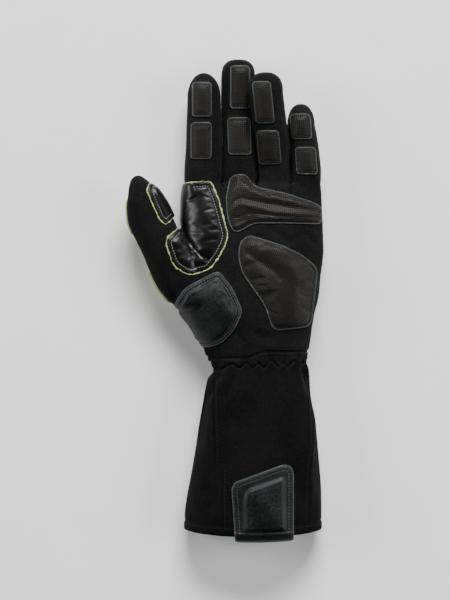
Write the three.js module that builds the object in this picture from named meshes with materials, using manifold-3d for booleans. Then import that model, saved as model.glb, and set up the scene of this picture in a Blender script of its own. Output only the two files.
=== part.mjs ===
// A left-hand racing driver's glove with a long gauntlet cuff, lying palm up.
// The knit shell is hollow: a palm panel, a back panel, side gussets between the fingers,
// a two-part thumb, a gathered wrist and a flared cuff. Leather and grip patches are sewn on.
// Units are millimetres. +X runs from the thumb to the little finger, +Y towards the
// fingertips and +Z up, out of the palm. The glove rests on its back at Z = 0.
import * as THREE from 'three';
import { mergeVertices } from 'three/addons/utils/BufferGeometryUtils.js';
import Module from 'manifold-3d';

const wasm = await Module();
wasm.setup();

// Sizes of the hand
const palmWidth = 97.3;
const palmLength = 116.6;
const palmThickness = 33;
const fabricWall = 2;

// Sizes of the fingers
const indexLength = 77.6;
const indexWidth = 23.8;
const indexThickness = 20;
const middleLength = 87.3;
const middleWidth = 23.5;
const middleThickness = 19;
const ringLength = 76.9;
const ringWidth = 23.5;
const ringThickness = 19;
const littleLength = 56.2;
const littleWidth = 20.7;
const littleThickness = 17.5;

// Sizes of the thumb
const thumbLength = 88.7;
const thumbWidth = 30;
const thumbThickness = 24;
const thumbAngle = 23.9;

// Sizes of the cuff
const gatherLength = 9;
const cuffLength = 112.5;
const wristWidth = 66;
const hemWidth = 93;
const cuffThickness = 33;
const hemLength = 6;
const hemWall = 2.6;
const gatherDepth = 1.1;
const gatherCount = 15;
const toothDepth = 3.2;
const toothCount = 8;

// Sizes of what is sewn on
const seamGap = 0.3;
const gripThickness = 1.3;
const leatherThickness = 1.5;
const edgingWidth = 1.2;
const edgingThickness = 1.1;
const heelPadThickness = 2.4;
const limePanelThickness = 1.5;
const gussetHeight = 8;
const tabThickness = 1.8;
const tabLip = 3.2;
const tabCorner = 2.5;
const patchCorner = 3;
const padCorner = 2;

// How finely round forms are faceted
const handSides = 22;
const fingerSides = 10;
const thumbSides = 14;
const cuffSides = gatherCount * 2;
const outlineSamples = 240;

// The least half size that a hollow keeps near a closed end, and how wide the palm's dent is
const thinnest = 0.1;
const dentSpread = 0.38;

// Turns rows of numbers into records with the named columns.
const table = (columns, ...rows) =>
  rows.map((row) => Object.fromEntries(columns.map((name, i) => [name, row[i]])));

// The hand, from the wrist seam (0) to the finger crotches (1): shares of palmLength,
// palmWidth and palmThickness. The dent is the hollow of the palm.
const handSections = table(
  ['along', 'left', 'right', 'bottom', 'top', 'dent'],
  [-0.06, -0.315, 0.385, 0.04, 0.80, 0.00],
  [0.10, -0.386, 0.412, -0.02, 0.90, 0.02],
  [0.25, -0.502, 0.441, -0.06, 1.00, 0.07],
  [0.33, -0.566, 0.468, -0.06, 1.01, 0.10],
  [0.47, -0.556, 0.484, -0.06, 0.98, 0.11],
  [0.615, -0.514, 0.503, -0.06, 0.93, 0.09],
  [0.94, -0.497, 0.490, 0.00, 0.76, 0.01],
  [1.00, -0.488, 0.485, 0.05, 0.70, 0.00],
);

// Each finger, from the crotch line (0) to its tip (1). Shift, width, rise and height are
// shares of the finger's own width and thickness, and rise is the centre's height.
const fingerColumns = ['along', 'shift', 'width', 'rise', 'height'];
const fingers = [
  {
    name: 'index',
    root: -0.356,
    length: indexLength,
    width: indexWidth,
    thickness: indexThickness,
    tipStart: 0.79,
    tipPower: 2.0,
    stations: table(
      fingerColumns,
      [-0.12, 0.010, 1.00, 0.62, 0.96],
      [0.10, 0.000, 1.06, 0.62, 1.03],
      [0.35, 0.030, 1.01, 0.64, 1.00],
      [0.79, 0.030, 0.95, 0.70, 0.86],
    ),
  },
  {
    name: 'middle',
    root: -0.0965,
    length: middleLength,
    width: middleWidth,
    thickness: middleThickness,
    tipStart: 0.86,
    tipPower: 2.8,
    stations: table(
      fingerColumns,
      [-0.11, 0.005, 0.97, 0.65, 1.04],
      [0.31, 0.010, 0.955, 0.60, 1.00],
      [0.50, -0.020, 0.955, 0.56, 0.95],
      [0.69, -0.050, 0.955, 0.53, 0.90],
      [0.86, -0.035, 0.98, 0.53, 0.87],
    ),
  },
  {
    name: 'ring',
    root: 0.1455,
    length: ringLength,
    width: ringWidth,
    thickness: ringThickness,
    tipStart: 0.82,
    tipPower: 2.5,
    stations: table(
      fingerColumns,
      [-0.12, 0.005, 0.96, 0.65, 1.00],
      [0.135, 0.007, 0.955, 0.66, 1.03],
      [0.35, -0.035, 0.965, 0.88, 0.98],
      [0.565, -0.130, 0.995, 1.10, 0.94],
      [0.71, -0.200, 1.01, 1.19, 0.90],
      [0.82, -0.245, 1.01, 1.24, 0.88],
    ),
  },
  {
    name: 'little',
    root: 0.378,
    length: littleLength,
    width: littleWidth,
    thickness: littleThickness,
    tipStart: 0.72,
    tipPower: 2.2,
    stations: table(
      fingerColumns,
      [-0.16, -0.030, 0.94, 0.71, 0.98],
      [0.18, -0.013, 1.005, 0.71, 1.08],
      [0.38, -0.055, 0.985, 0.78, 1.02],
      [0.577, -0.118, 0.95, 0.86, 0.98],
      [0.72, -0.180, 0.905, 0.92, 0.94],
    ),
  },
];

// The thumb, from its root in the palm (0) to its tip (1): shares of thumbLength,
// thumbWidth and thumbThickness. Inner faces the palm and outer faces away from it.
const thumbRoot = { across: -0.447, along: 0.367 };
const thumbSections = table(
  ['along', 'inner', 'outer', 'centre', 'height'],
  [-0.10, 0.63, 0.36, 0.70, 1.16],
  [0.04, 0.60, 0.57, 0.71, 1.15],
  [0.16, 0.50, 0.643, 0.73, 1.11],
  [0.295, 0.39, 0.655, 0.76, 1.06],
  [0.41, 0.367, 0.643, 0.79, 1.01],
  [0.51, 0.343, 0.650, 0.81, 0.97],
  [0.646, 0.343, 0.667, 0.83, 0.93],
  [0.786, 0.303, 0.563, 0.85, 0.86],
  [0.864, 0.230, 0.437, 0.86, 0.74],
  [0.947, 0.120, 0.290, 0.87, 0.50],
  [0.99, 0.010, 0.170, 0.87, 0.20],
);

// The wrist and cuff, from the wrist seam (0) down to the hem (1): shares of the whole
// length, of half the local width and of cuffThickness. Gather is the depth of its folds.
const cuffSections = table(
  ['down', 'flare', 'shift', 'bottom', 'top', 'gather'],
  [-0.06, 0.32, -0.006, 0.05, 0.80, 0.0],
  [0.045, -0.02, 0.014, 0.07, 0.78, 1.0],
  [0.085, -0.08, 0.022, 0.06, 0.79, 1.0],
  [0.15, 0.08, 0.005, 0.03, 0.84, 0.9],
  [0.24, 0.21, -0.001, 0.00, 0.90, 0.5],
  [0.36, 0.385, -0.001, -0.03, 0.94, 0.2],
  [0.62, 0.70, -0.009, -0.06, 0.99, 0.0],
  [0.94, 0.98, -0.030, -0.06, 1.00, 0.0],
  [1.06, 0.99, -0.028, -0.06, 1.00, 0.0],
);
const cuffCentre = 3;

// Superellipse powers of the outlines: 2 is an ellipse, and more is squarer.
const handPower = { side: 2.5, top: 2.2, bottom: 3.2 };
const fingerPower = { side: 2.3, top: 2.3, bottom: 2.3 };
const thumbPower = { side: 2.2, top: 2.1, bottom: 2.1 };
const cuffPower = { side: 2.4, top: 2.3, bottom: 3.0 };

const crotchY = palmLength;
const wristY = 0;
const hemY = -(gatherLength + cuffLength);
const splitHeight = fingers[0].stations[0].rise * fingers[0].thickness;
const acrossPalm = (share) => share * palmWidth;
const alongPalm = (share) => share * palmLength;
const lerp = THREE.MathUtils.lerp;

// A solid from rings of points that share one count, closed by a fan at each end.
function loftSolid(rings, tip = null) {
  const sides = rings[0].length;
  const points = rings.flat();
  const mean = (ring) => ring
    .reduce((sum, p) => sum.add(p), new THREE.Vector3())
    .divideScalar(ring.length);
  const startFan = points.length;
  points.push(mean(rings[0]));
  const endFan = points.length;
  points.push(tip ?? mean(rings.at(-1)));
  const triangles = [];
  rings.slice(1).forEach((_, i) => {
    for (let k = 0; k < sides; k += 1) {
      const a = i * sides + k;
      const b = i * sides + ((k + 1) % sides);
      triangles.push(a, a + sides, b, b, a + sides, b + sides);
    }
  });
  const lastRing = (rings.length - 1) * sides;
  for (let k = 0; k < sides; k += 1) {
    const next = (k + 1) % sides;
    triangles.push(k, next, startFan);
    triangles.push(lastRing + next, lastRing + k, endFan);
  }
  return new wasm.Manifold(new wasm.Mesh({
    numProp: 3,
    vertProperties: new Float32Array(points.flatMap((p) => [p.x, p.y, p.z])),
    triVerts: new Uint32Array(triangles),
  }));
}

// A solid from a closed three.js geometry.
function solidFrom(geometry) {
  const bare = geometry.clone();
  bare.deleteAttribute('normal');
  bare.deleteAttribute('uv');
  const merged = mergeVertices(bare);
  return new wasm.Manifold(new wasm.Mesh({
    numProp: 3,
    vertProperties: merged.attributes.position.array,
    triVerts: new Uint32Array(merged.index.array),
  }));
}

// One cross-section at y: a superellipse around (x, z) with evenly spaced points. It is
// stretched by grow on every side, waved by its gathers and cut flat at the floor, and a
// grown section keeps its points beside those of the plain one.
function outline({ x, y, z, halfWidth, up, down, dent = 0, gather = 0 }, power, grow, sides) {
  const signedPower = (value, exponent) => Math.sign(value) * Math.abs(value) ** exponent;
  const dense = [];
  for (let k = 0; k < outlineSamples; k += 1) {
    const angle = (2 * Math.PI * k) / outlineSamples;
    const share = signedPower(Math.cos(angle), 2 / power.side);
    const lift = Math.sin(angle) > 0
      ? up * Math.sin(angle) ** (2 / power.top) - dent * Math.exp(-((share / dentSpread) ** 2))
      : -down * Math.abs(Math.sin(angle)) ** (2 / power.bottom);
    dense.push(new THREE.Vector2(halfWidth * share, lift));
  }
  dense.push(dense[0]);
  const travelled = [0];
  dense.slice(1).forEach((p, k) => travelled.push(travelled[k] + p.distanceTo(dense[k])));
  const stretch = (size) => Math.max(size + grow, thinnest) / size;
  const ring = [];
  let step = 0;
  for (let k = 0; k < sides; k += 1) {
    const target = (travelled.at(-1) * k) / sides;
    while (travelled[step + 1] < target) step += 1;
    const t = (target - travelled[step]) / (travelled[step + 1] - travelled[step]);
    const p = dense[step].clone().lerp(dense[step + 1], t);
    const folds = Math.cos((2 * Math.PI * gatherCount * k) / sides);
    const wave = p.clone().normalize().multiplyScalar(gather * folds);
    const across = p.x * stretch(halfWidth) + wave.x;
    const lift = p.y * stretch(p.y > 0 ? up : down) + wave.y;
    ring.push(new THREE.Vector3(x + across, y, Math.max(z + lift, Math.max(-grow, 0))));
  }
  return ring;
}

// The hand without its fingers, grown by grow. A negative grow gives its hollow, which
// runs past the open wrist end and stops inside the crotch end.
function handBody(grow) {
  const rings = handSections.map((s, i) => {
    const openEnd = i === 0 ? -Math.abs(grow) : 0;
    const closedEnd = i === handSections.length - 1 ? grow : 0;
    return outline({
      x: acrossPalm((s.left + s.right) / 2),
      y: alongPalm(s.along) + openEnd + closedEnd,
      z: splitHeight,
      halfWidth: acrossPalm((s.right - s.left) / 2),
      up: s.top * palmThickness - splitHeight,
      down: splitHeight - s.bottom * palmThickness,
      dent: s.dent * palmThickness,
    }, handPower, grow, handSides);
  });
  return loftSolid(rings);
}

// A finger's stations in millimetres, with its rounded tip.
function fingerPath(finger) {
  const tipSteps = [0.5, 0.85];
  const last = finger.stations.at(-1);
  const tip = tipSteps.map((t) => {
    const size = (1 - t ** finger.tipPower) ** (1 / finger.tipPower);
    const along = lerp(finger.tipStart, 1, t);
    return { ...last, along, width: last.width * size, height: last.height * size };
  });
  return [...finger.stations, ...tip].map((s) => ({
    x: acrossPalm(finger.root) + s.shift * finger.width,
    y: crotchY + s.along * finger.length,
    z: s.rise * finger.thickness,
    halfWidth: (s.width * finger.width) / 2,
    halfHeight: (s.height * finger.thickness) / 2,
  }));
}

// The section of a path at the height y, between its stations or like its last one.
function stationAt(path, y) {
  const next = path.findIndex((s) => s.y > y);
  if (next < 1) return { ...path.at(-1), y };
  const [a, b] = [path[next - 1], path[next]];
  const t = (y - a.y) / (b.y - a.y);
  const mixed = Object.keys(a).map((key) => [key, lerp(a[key], b[key], t)]);
  return Object.fromEntries(mixed);
}

function fingerBody(finger, grow) {
  const path = fingerPath(finger);
  const tipFrom = crotchY + finger.tipStart * finger.length;
  const tipTo = crotchY + finger.length;
  const lengthened = (y) => {
    if (y === path[0].y) return y - Math.abs(grow);
    return y + grow * Math.max(0, (y - tipFrom) / (tipTo - tipFrom));
  };
  const rings = path.map((s) => outline({
    x: s.x, y: lengthened(s.y), z: s.z, halfWidth: s.halfWidth, up: s.halfHeight, down: s.halfHeight,
  }, fingerPower, grow, fingerSides));
  const end = path.at(-1);
  return loftSolid(rings, new THREE.Vector3(end.x, tipTo + grow, end.z));
}

// A block that follows a finger: from low to high about its centre height, and across from
// left to right in shares of its half width. Its stations lie midway between the finger's,
// at every second gap.
function fingerBlock(finger, { left, right, low, high, until = 1.2 }) {
  const path = fingerPath(finger);
  const end = crotchY + until * finger.length;
  const midway = path.slice(1)
    .map((s, i) => stationAt(path, (path[i].y + s.y) / 2))
    .filter((_, i) => i % 2 === 0);
  const start = { ...path[0], y: path[0].y - fabricWall };
  const stations = [start, ...midway.filter((s) => s.y < end - fabricWall), stationAt(path, end)];
  const rings = stations.map((s) => {
    const full = Math.max(s.halfWidth, finger.width * 0.2);
    return [[right, low], [right, high], [left, high], [left, low]]
      .map(([across, lift]) => new THREE.Vector3(s.x + across * full, s.y, s.z + lift));
  });
  return loftSolid(rings);
}

// Places what is made in the thumb's own frame, with its axis along +Y, at its root.
const thumbPlace = new THREE.Matrix4()
  .makeTranslation(acrossPalm(thumbRoot.across), alongPalm(thumbRoot.along), 0)
  .multiply(new THREE.Matrix4().makeRotationZ(THREE.MathUtils.degToRad(thumbAngle)));

function thumbBody(grow) {
  const rings = thumbSections.map((s, i) => {
    const tipEnd = grow * Math.max(0, (s.along - 0.8) / 0.2);
    const end = i === 0 ? -Math.abs(grow) : tipEnd;
    return outline({
      x: ((s.inner - s.outer) / 2) * thumbWidth,
      y: s.along * thumbLength + end,
      z: s.centre * thumbThickness,
      halfWidth: ((s.inner + s.outer) / 2) * thumbWidth,
      up: (s.height * thumbThickness) / 2,
      down: (s.height * thumbThickness) / 2,
    }, thumbPower, grow, thumbSides).map((p) => p.applyMatrix4(thumbPlace));
  });
  const last = thumbSections.at(-1);
  const tip = new THREE.Vector3(
    ((last.inner - last.outer) / 2) * thumbWidth,
    thumbLength + grow,
    last.centre * thumbThickness,
  ).applyMatrix4(thumbPlace);
  return loftSolid(rings, tip);
}

// A block that follows the thumb's centre height, in its own frame. Its stations lie
// midway between the thumb's, at every third gap.
function thumbBlock(low, high) {
  const midway = thumbSections.slice(1).map((s, i) => ({
    along: (thumbSections[i].along + s.along) / 2,
    centre: (thumbSections[i].centre + s.centre) / 2,
  })).filter((_, i) => i % 3 === 0);
  const stations = [
    { along: -1, centre: thumbSections[0].centre },
    ...midway,
    { along: 1.3, centre: thumbSections.at(-1).centre },
  ];
  const rings = stations.map((s) => [[1, low], [1, high], [-1, high], [-1, low]]
    .map(([across, lift]) => new THREE.Vector3(
      across * thumbWidth,
      s.along * thumbLength,
      s.centre * thumbThickness + lift,
    ).applyMatrix4(thumbPlace)));
  return loftSolid(rings);
}

// The gathered wrist and the cuff as one body, grown by grow and open at both ends.
function cuffBody(grow) {
  const last = cuffSections.length - 1;
  const rings = cuffSections.map((s, i) => {
    const end = { 0: Math.abs(grow), [last]: -Math.abs(grow) }[i] ?? 0;
    return outline({
      x: cuffCentre + s.shift * hemWidth,
      y: s.down * hemY + end,
      z: splitHeight,
      halfWidth: lerp(wristWidth, hemWidth, s.flare) / 2,
      up: s.top * cuffThickness - splitHeight,
      down: splitHeight - s.bottom * cuffThickness,
      gather: s.gather * gatherDepth,
    }, cuffPower, grow, cuffSides);
  });
  return loftSolid(rings.reverse());
}

// A flat outline in plan with rounded corners, as a three.js shape.
function roundedShape(points, radius) {
  const shape = new THREE.Shape();
  const corners = points.map(([x, y]) => new THREE.Vector2(x, y));
  corners.forEach((corner, i) => {
    const before = corners[(i + corners.length - 1) % corners.length];
    const after = corners[(i + 1) % corners.length];
    const reach = Math.min(radius, corner.distanceTo(before) / 2.2, corner.distanceTo(after) / 2.2);
    const start = corner.clone().lerp(before, reach / corner.distanceTo(before));
    const end = corner.clone().lerp(after, reach / corner.distanceTo(after));
    if (i === 0) shape.moveTo(start.x, start.y);
    else shape.lineTo(start.x, start.y);
    shape.quadraticCurveTo(corner.x, corner.y, end.x, end.y);
  });
  shape.closePath();
  return shape;
}

// An upright block over a plan outline, between two heights.
function planBlock(points, low, high, radius = 0) {
  const shape = radius > 0
    ? roundedShape(points, radius)
    : new THREE.Shape(points.map(([x, y]) => new THREE.Vector2(x, y)));
  const block = new THREE.ExtrudeGeometry(shape, {
    depth: high - low,
    bevelEnabled: false,
    curveSegments: 2,
  });
  block.translate(0, 0, low);
  return solidFrom(block);
}

// Moves each corner of a plan outline outwards by distance, along its mitre.
function growOutline(points, distance) {
  const area = points.reduce((sum, [x, y], i) => {
    const [nextX, nextY] = points[(i + 1) % points.length];
    return sum + x * nextY - nextX * y;
  }, 0);
  const turn = Math.sign(area);
  return points.map((p, i) => {
    const corner = new THREE.Vector2(...p);
    const before = new THREE.Vector2(...points[(i + points.length - 1) % points.length]);
    const after = new THREE.Vector2(...points[(i + 1) % points.length]);
    const sideA = corner.clone().sub(before).normalize();
    const sideB = after.clone().sub(corner).normalize();
    const normalA = new THREE.Vector2(sideA.y * turn, -sideA.x * turn);
    const normalB = new THREE.Vector2(sideB.y * turn, -sideB.x * turn);
    const mitre = normalA.clone().add(normalB).normalize();
    const length = distance / Math.max(mitre.dot(normalA), 0.5);
    return [corner.x + mitre.x * length, corner.y + mitre.y * length];
  });
}

const union = (...solids) => solids.flat().reduce((a, b) => a.add(b));

// Far limits of the cutting blocks, past every side of the glove
const reach = 3 * palmWidth;
const floorBelow = -palmThickness;
const above = 3 * palmThickness;

// The outer skin of the glove without its cuff, grown by grow
const fingerSkins = (grow) => fingers.map((finger) => fingerBody(finger, grow));
const handSkin = (grow) => union(handBody(grow), fingerSkins(grow));

const handOuter = handBody(0);
const handHollow = handBody(-fabricWall);
const fingerOuters = fingerSkins(0);
const fingerHollows = fingerSkins(-fabricWall);
const thumbOuter = thumbBody(0);
const thumbHollow = thumbBody(-fabricWall);
const hollow = union(handHollow, fingerHollows, thumbHollow);
const cuffOuter = cuffBody(0);
const cuffHollow = cuffBody(-fabricWall);

// The slanted wrist seam, and everything below it
const seamLeftY = wristY - palmLength * 0.02;
const seamRightY = wristY + palmLength * 0.018;
const belowSeam = (gap) => planBlock([
  [-reach, seamLeftY + gap],
  [acrossPalm(-0.05), seamLeftY + gap],
  [acrossPalm(0.08), seamRightY + gap],
  [reach, seamRightY + gap],
  [reach, hemY - reach],
  [-reach, hemY - reach],
], floorBelow, above);

// Side gussets: a strip down each facing side of two neighbouring fingers, joined in the crotch
const gussetNames = ['gusset_index_middle', 'gusset_middle_ring', 'gusset_ring_little'];
const gussetReach = 0.86;
const gussetInner = 0.72;
const sideBlock = (finger, side, gap) => {
  const inner = gussetInner - gap / finger.width;
  const [left, right] = side > 0 ? [inner, 1.2] : [-1.2, -inner];
  const half = gussetHeight / 2 + gap;
  const until = gussetReach + gap / finger.length;
  return fingerBlock(finger, { left, right, low: -half, high: half, until });
};
const crotchBlock = (i, gap) => {
  const left = acrossPalm(fingers[i].root) + fingers[i].width * 0.38 - gap;
  const right = acrossPalm(fingers[i + 1].root) - fingers[i + 1].width * 0.38 + gap;
  const half = gussetHeight / 2 + gap;
  const [from, to] = [crotchY - 1.5 * fabricWall - gap, crotchY + fabricWall + gap];
  const corners = [[left, from], [right, from], [right, to], [left, to]];
  return planBlock(corners, splitHeight - half, splitHeight + half);
};
const gussets = gussetNames.map((_, i) => union(
  fingerOuters[i].intersect(sideBlock(fingers[i], 1, 0)),
  fingerOuters[i + 1].intersect(sideBlock(fingers[i + 1], -1, 0)),
  handOuter.intersect(crotchBlock(i, 0)),
).subtract(hollow));

// Panels: the half of every form above or below its middle height, less the gussets' room
const halfGap = seamGap / 2;
const fingerSidesOf = (i) => [1, -1].filter((side) => fingers[i + side]);
const fingerHalf = (low, high) => fingers.map((finger, i) => {
  const half = fingerOuters[i].intersect(fingerBlock(finger, { left: -2, right: 2, low, high }));
  return fingerSidesOf(i).reduce((solid, side) => solid.subtract(sideBlock(finger, side, seamGap)), half);
});
const sideRoom = union(
  fingers.flatMap((finger, i) => fingerSidesOf(i).map((side) => sideBlock(finger, side, seamGap))),
);
const crotchRoom = union(gussetNames.map((_, i) => crotchBlock(i, seamGap)));
const handHalf = (low, high) => handOuter.subtract(sideRoom).intersect(planBlock(
  [[-reach, -reach], [reach, -reach], [reach, reach], [-reach, reach]],
  low,
  high,
));
const panel = (low, high) => union(
  handHalf(splitHeight + low, splitHeight + high),
  fingerHalf(low, high),
).subtract(hollow).subtract(crotchRoom).subtract(belowSeam(halfGap));
const palmPanel = panel(halfGap, above);
const backPanel = panel(-above, -halfGap);

// The thumb sits against the hand, open into it
const thumbShell = thumbOuter.subtract(thumbHollow).subtract(handSkin(seamGap));
const thumbFront = thumbShell.intersect(thumbBlock(halfGap, above));
const thumbBack = thumbShell.intersect(thumbBlock(-above, -halfGap));

// The gathered wrist ends in a row of pointed fold ends, and the cuff starts under them
const toothFlank = wristWidth / toothCount / 2;
const gatherEndY = -gatherLength;
const belowTeeth = (gap) => {
  const edge = [];
  for (let k = -toothCount; k <= toothCount; k += 1) {
    edge.push([cuffCentre + k * toothFlank, gatherEndY + gap + (k % 2 ? toothDepth / 2 : -toothDepth / 2)]);
  }
  return planBlock([
    [-reach, gatherEndY + gap],
    ...edge,
    [reach, gatherEndY + gap],
    [reach, hemY - reach],
    [-reach, hemY - reach],
  ], floorBelow, above);
};
const belowLevel = (y) => planBlock(
  [[-reach, hemY - reach], [reach, hemY - reach], [reach, y], [-reach, y]],
  floorBelow,
  above,
);
const cuffWall = cuffOuter.subtract(cuffHollow);
const wristGather = cuffWall.intersect(belowSeam(-halfGap)).subtract(belowTeeth(halfGap));
const cuffTube = cuffWall
  .intersect(belowTeeth(-halfGap))
  .subtract(belowLevel(hemY + hemLength + halfGap));

// The cuff's palm-side panel lies between two seams, with a step in the thumb-side seam
const stepY = lerp(gatherEndY, hemY, 0.575);
const frontLeft = -0.275 * palmWidth;
const frontLeftLow = -0.215 * palmWidth;
const frontRight = 0.385 * palmWidth;
const frontRightTop = 0.355 * palmWidth;
const frontPanelEdge = [
  [frontLeft, palmLength],
  [frontLeft, stepY],
  [frontLeftLow, stepY - toothDepth],
  [frontLeftLow, hemY - reach],
  [frontRight, hemY - reach],
  [frontRight, stepY],
  [frontRightTop, gatherEndY],
  [frontRightTop, palmLength],
];
const frontPanelBlock = (gap) => planBlock(growOutline(frontPanelEdge, gap), splitHeight - gap, above);
const cuffFront = cuffTube.intersect(frontPanelBlock(0));
const cuffBack = cuffTube.subtract(frontPanelBlock(seamGap));
const cuffHem = cuffBody(hemWall - fabricWall)
  .subtract(cuffHollow)
  .intersect(belowLevel(hemY + hemLength - halfGap))
  .subtract(belowLevel(hemY));

// Sewn-on pieces stop a little above the side seam of the hand.
const seamTop = splitHeight + 1;

// A patch follows a skin: it lies seamGap above it, inside a plan outline, between two heights.
function patch(skin, points, options) {
  const { thickness, low = seamTop, high = above, radius = patchCorner, lift = seamGap } = options;
  return skin(lift + thickness).subtract(skin(lift)).intersect(planBlock(points, low, high, radius));
}

// Two grip pads on each finger: corners in shares of the finger's length and half width
const padColumns = ['from', 'to', 'left', 'right'];
const fingerPads = {
  index: table(padColumns, [0.605, 0.925, -0.76, 0.45], [0.23, 0.55, -0.76, 0.42]),
  middle: table(padColumns, [0.605, 0.94, -0.44, 0.66], [0.24, 0.53, -0.62, 0.66]),
  ring: table(padColumns, [0.545, 0.905, -0.76, 0.26], [0.185, 0.475, -0.80, 0.42]),
  little: table(padColumns, [0.56, 0.86, -0.72, 0.55], [0.13, 0.455, -0.58, 0.72]),
};
function fingerPad(finger, pad) {
  const path = fingerPath(finger);
  const corner = (across, along) => {
    const station = stationAt(path, crotchY + along * finger.length);
    return [station.x + (across * finger.width) / 2, station.y];
  };
  const points = [
    corner(pad.left, pad.from),
    corner(pad.right, pad.from),
    corner(pad.right, pad.to),
    corner(pad.left, pad.to),
  ];
  const middleHeight = Math.min(...path.map((s) => s.z));
  const top = fingerBlock(finger, { left: -2, right: 2, low: 1, high: above });
  return patch((grow) => fingerBody(finger, grow), points, {
    thickness: gripThickness,
    low: middleHeight,
    radius: padCorner,
  }).intersect(top);
}

// Plan outlines on the palm: shares of palmWidth from its middle and of palmLength
const palmOutline = (shares) => shares.map(([across, along]) => [acrossPalm(across), alongPalm(along)]);
const gripStrap = palmOutline([
  [-0.158, 1.05], [-0.055, 1.065], [0.005, 0.985], [0.235, 0.945], [0.480, 0.878],
  [0.484, 0.768], [0.01, 0.772], [-0.13, 0.710], [-0.178, 0.785], [-0.191, 0.92],
]);
const heelGrip = palmOutline([
  [-0.030, 0.700], [0.20, 0.640], [0.345, 0.582], [0.448, 0.510], [0.446, 0.44],
  [0.403, 0.165], [0.140, 0.140], [0.085, 0.285], [-0.080, 0.482], [-0.106, 0.582],
  [-0.090, 0.665],
]);
const webOutline = palmOutline([
  [-0.53, 1.005], [-0.30, 1.020], [-0.243, 0.900], [-0.178, 0.692], [-0.215, 0.612],
  [-0.300, 0.505], [-0.450, 0.464], [-0.560, 0.522], [-0.618, 0.668], [-0.538, 0.728],
]);
// Here the web leather folds over the side of the hand and shows no edging.
const webFold = palmOutline([[-0.75, 0.745], [-0.512, 0.745], [-0.512, 1.2], [-0.75, 1.2]]);
const thumbHeelOutline = palmOutline([
  [-0.244, 0.490], [-0.144, 0.382], [-0.076, 0.250], [-0.144, 0.135], [-0.226, 0.066],
  [-0.312, 0.044], [-0.420, 0.055], [-0.570, 0.220], [-0.555, 0.290], [-0.478, 0.390],
]);

// Plan outlines on the thumb, in its own frame: shares of thumbWidth and thumbLength
const thumbOutline = (shares) => shares.map(([across, along]) => {
  const p = new THREE.Vector3(across * thumbWidth, along * thumbLength, 0).applyMatrix4(thumbPlace);
  return [p.x, p.y];
});
const thumbTipOutline = thumbOutline([
  [0.60, 0.90], [0.135, 0.885], [0.045, 0.85], [0.045, 0.60], [0.14, 0.545], [0.60, 0.60],
]);
const limeKnuckle = thumbOutline([[-0.20, 0.58], [-1.2, 0.56], [-1.2, 0.88], [-0.16, 0.86]]);
const limeRoot = thumbOutline([[-0.10, -0.02], [-1.2, -0.06], [-1.2, 0.28], [-0.16, 0.30]]);

const wholeSkin = (grow) => union(handSkin(grow), thumbBody(grow));
const webLeather = patch(wholeSkin, webOutline, { thickness: leatherThickness });
const webEdging = patch(wholeSkin, growOutline(webOutline, seamGap + edgingWidth), {
  thickness: edgingThickness,
})
  .subtract(planBlock(growOutline(webOutline, seamGap), floorBelow, above, patchCorner))
  .subtract(planBlock(webFold, floorBelow, above));
const thumbLeather = patch(thumbBody, thumbTipOutline, { thickness: leatherThickness, radius: padCorner });
const thumbEdging = patch(thumbBody, growOutline(thumbTipOutline, seamGap + edgingWidth), {
  thickness: edgingThickness,
  radius: padCorner,
}).subtract(planBlock(growOutline(thumbTipOutline, seamGap), floorBelow, above, padCorner));
const thumbHeelPad = patch(wholeSkin, thumbHeelOutline, { thickness: heelPadThickness });
const strapPatch = patch(handSkin, gripStrap, { thickness: gripThickness });
const heelPatch = patch(handSkin, heelGrip, { thickness: gripThickness });

// Padded lime panels wrap the outer side of the thumb, under its middle height
const limePanel = (points) => patch(wholeSkin, points, {
  thickness: limePanelThickness,
  low: limePanelThickness,
  high: thumbSections[0].centre * thumbThickness + seamGap,
});

// The pull tab lies on the cuff and hem, and its lip folds round the hem's edge
const tabTop = lerp(gatherEndY, hemY, 0.585);
const tabOutline = [
  [-0.118 * palmWidth, hemY - tabLip],
  [-0.150 * palmWidth, lerp(tabTop, hemY, 0.34)],
  [-0.130 * palmWidth, lerp(tabTop, hemY, 0.25)],
  [0.212 * palmWidth, tabTop],
  [0.262 * palmWidth, lerp(tabTop, hemY, 0.03)],
  [0.280 * palmWidth, lerp(tabTop, hemY, 0.12)],
  [0.280 * palmWidth, hemY - tabLip],
];
const tabSeat = hemWall - fabricWall + seamGap;
const tabLeather = patch(cuffBody, tabOutline, {
  thickness: tabThickness,
  lift: tabSeat,
  radius: tabCorner,
});
const tabFold = cuffBody(tabSeat + tabThickness)
  .subtract(cuffBody(-fabricWall))
  .intersect(planBlock(tabOutline, splitHeight, above))
  .intersect(belowLevel(hemY - seamGap));
const pullTab = tabLeather.add(tabFold);

// Colours and finishes
const material = (color, roughness, metalness = 0) =>
  new THREE.MeshStandardMaterial({ color, roughness, metalness });
const knit = material(0x161816, 0.92);
const grip = material(0x2a2622, 0.7);
const smoothLeather = material(0x121314, 0.32);
const grainedLeather = material(0x16191b, 0.5);
const lime = material(0xc9cc5c, 0.8);

const glove = new THREE.Group();

// Adds a solid as a named mesh, without the crumbs that a cut may leave.
function addPart(name, solid, finish) {
  const body = solid.decompose().sort((a, b) => b.volume() - a.volume())[0];
  const mesh = body.getMesh();
  const geometry = new THREE.BufferGeometry();
  geometry.setAttribute('position', new THREE.BufferAttribute(new Float32Array(mesh.vertProperties), 3));
  geometry.setIndex(new THREE.BufferAttribute(new Uint32Array(mesh.triVerts), 1));
  geometry.computeVertexNormals();
  const part = new THREE.Mesh(geometry, finish);
  part.name = name;
  glove.add(part);
}

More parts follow.
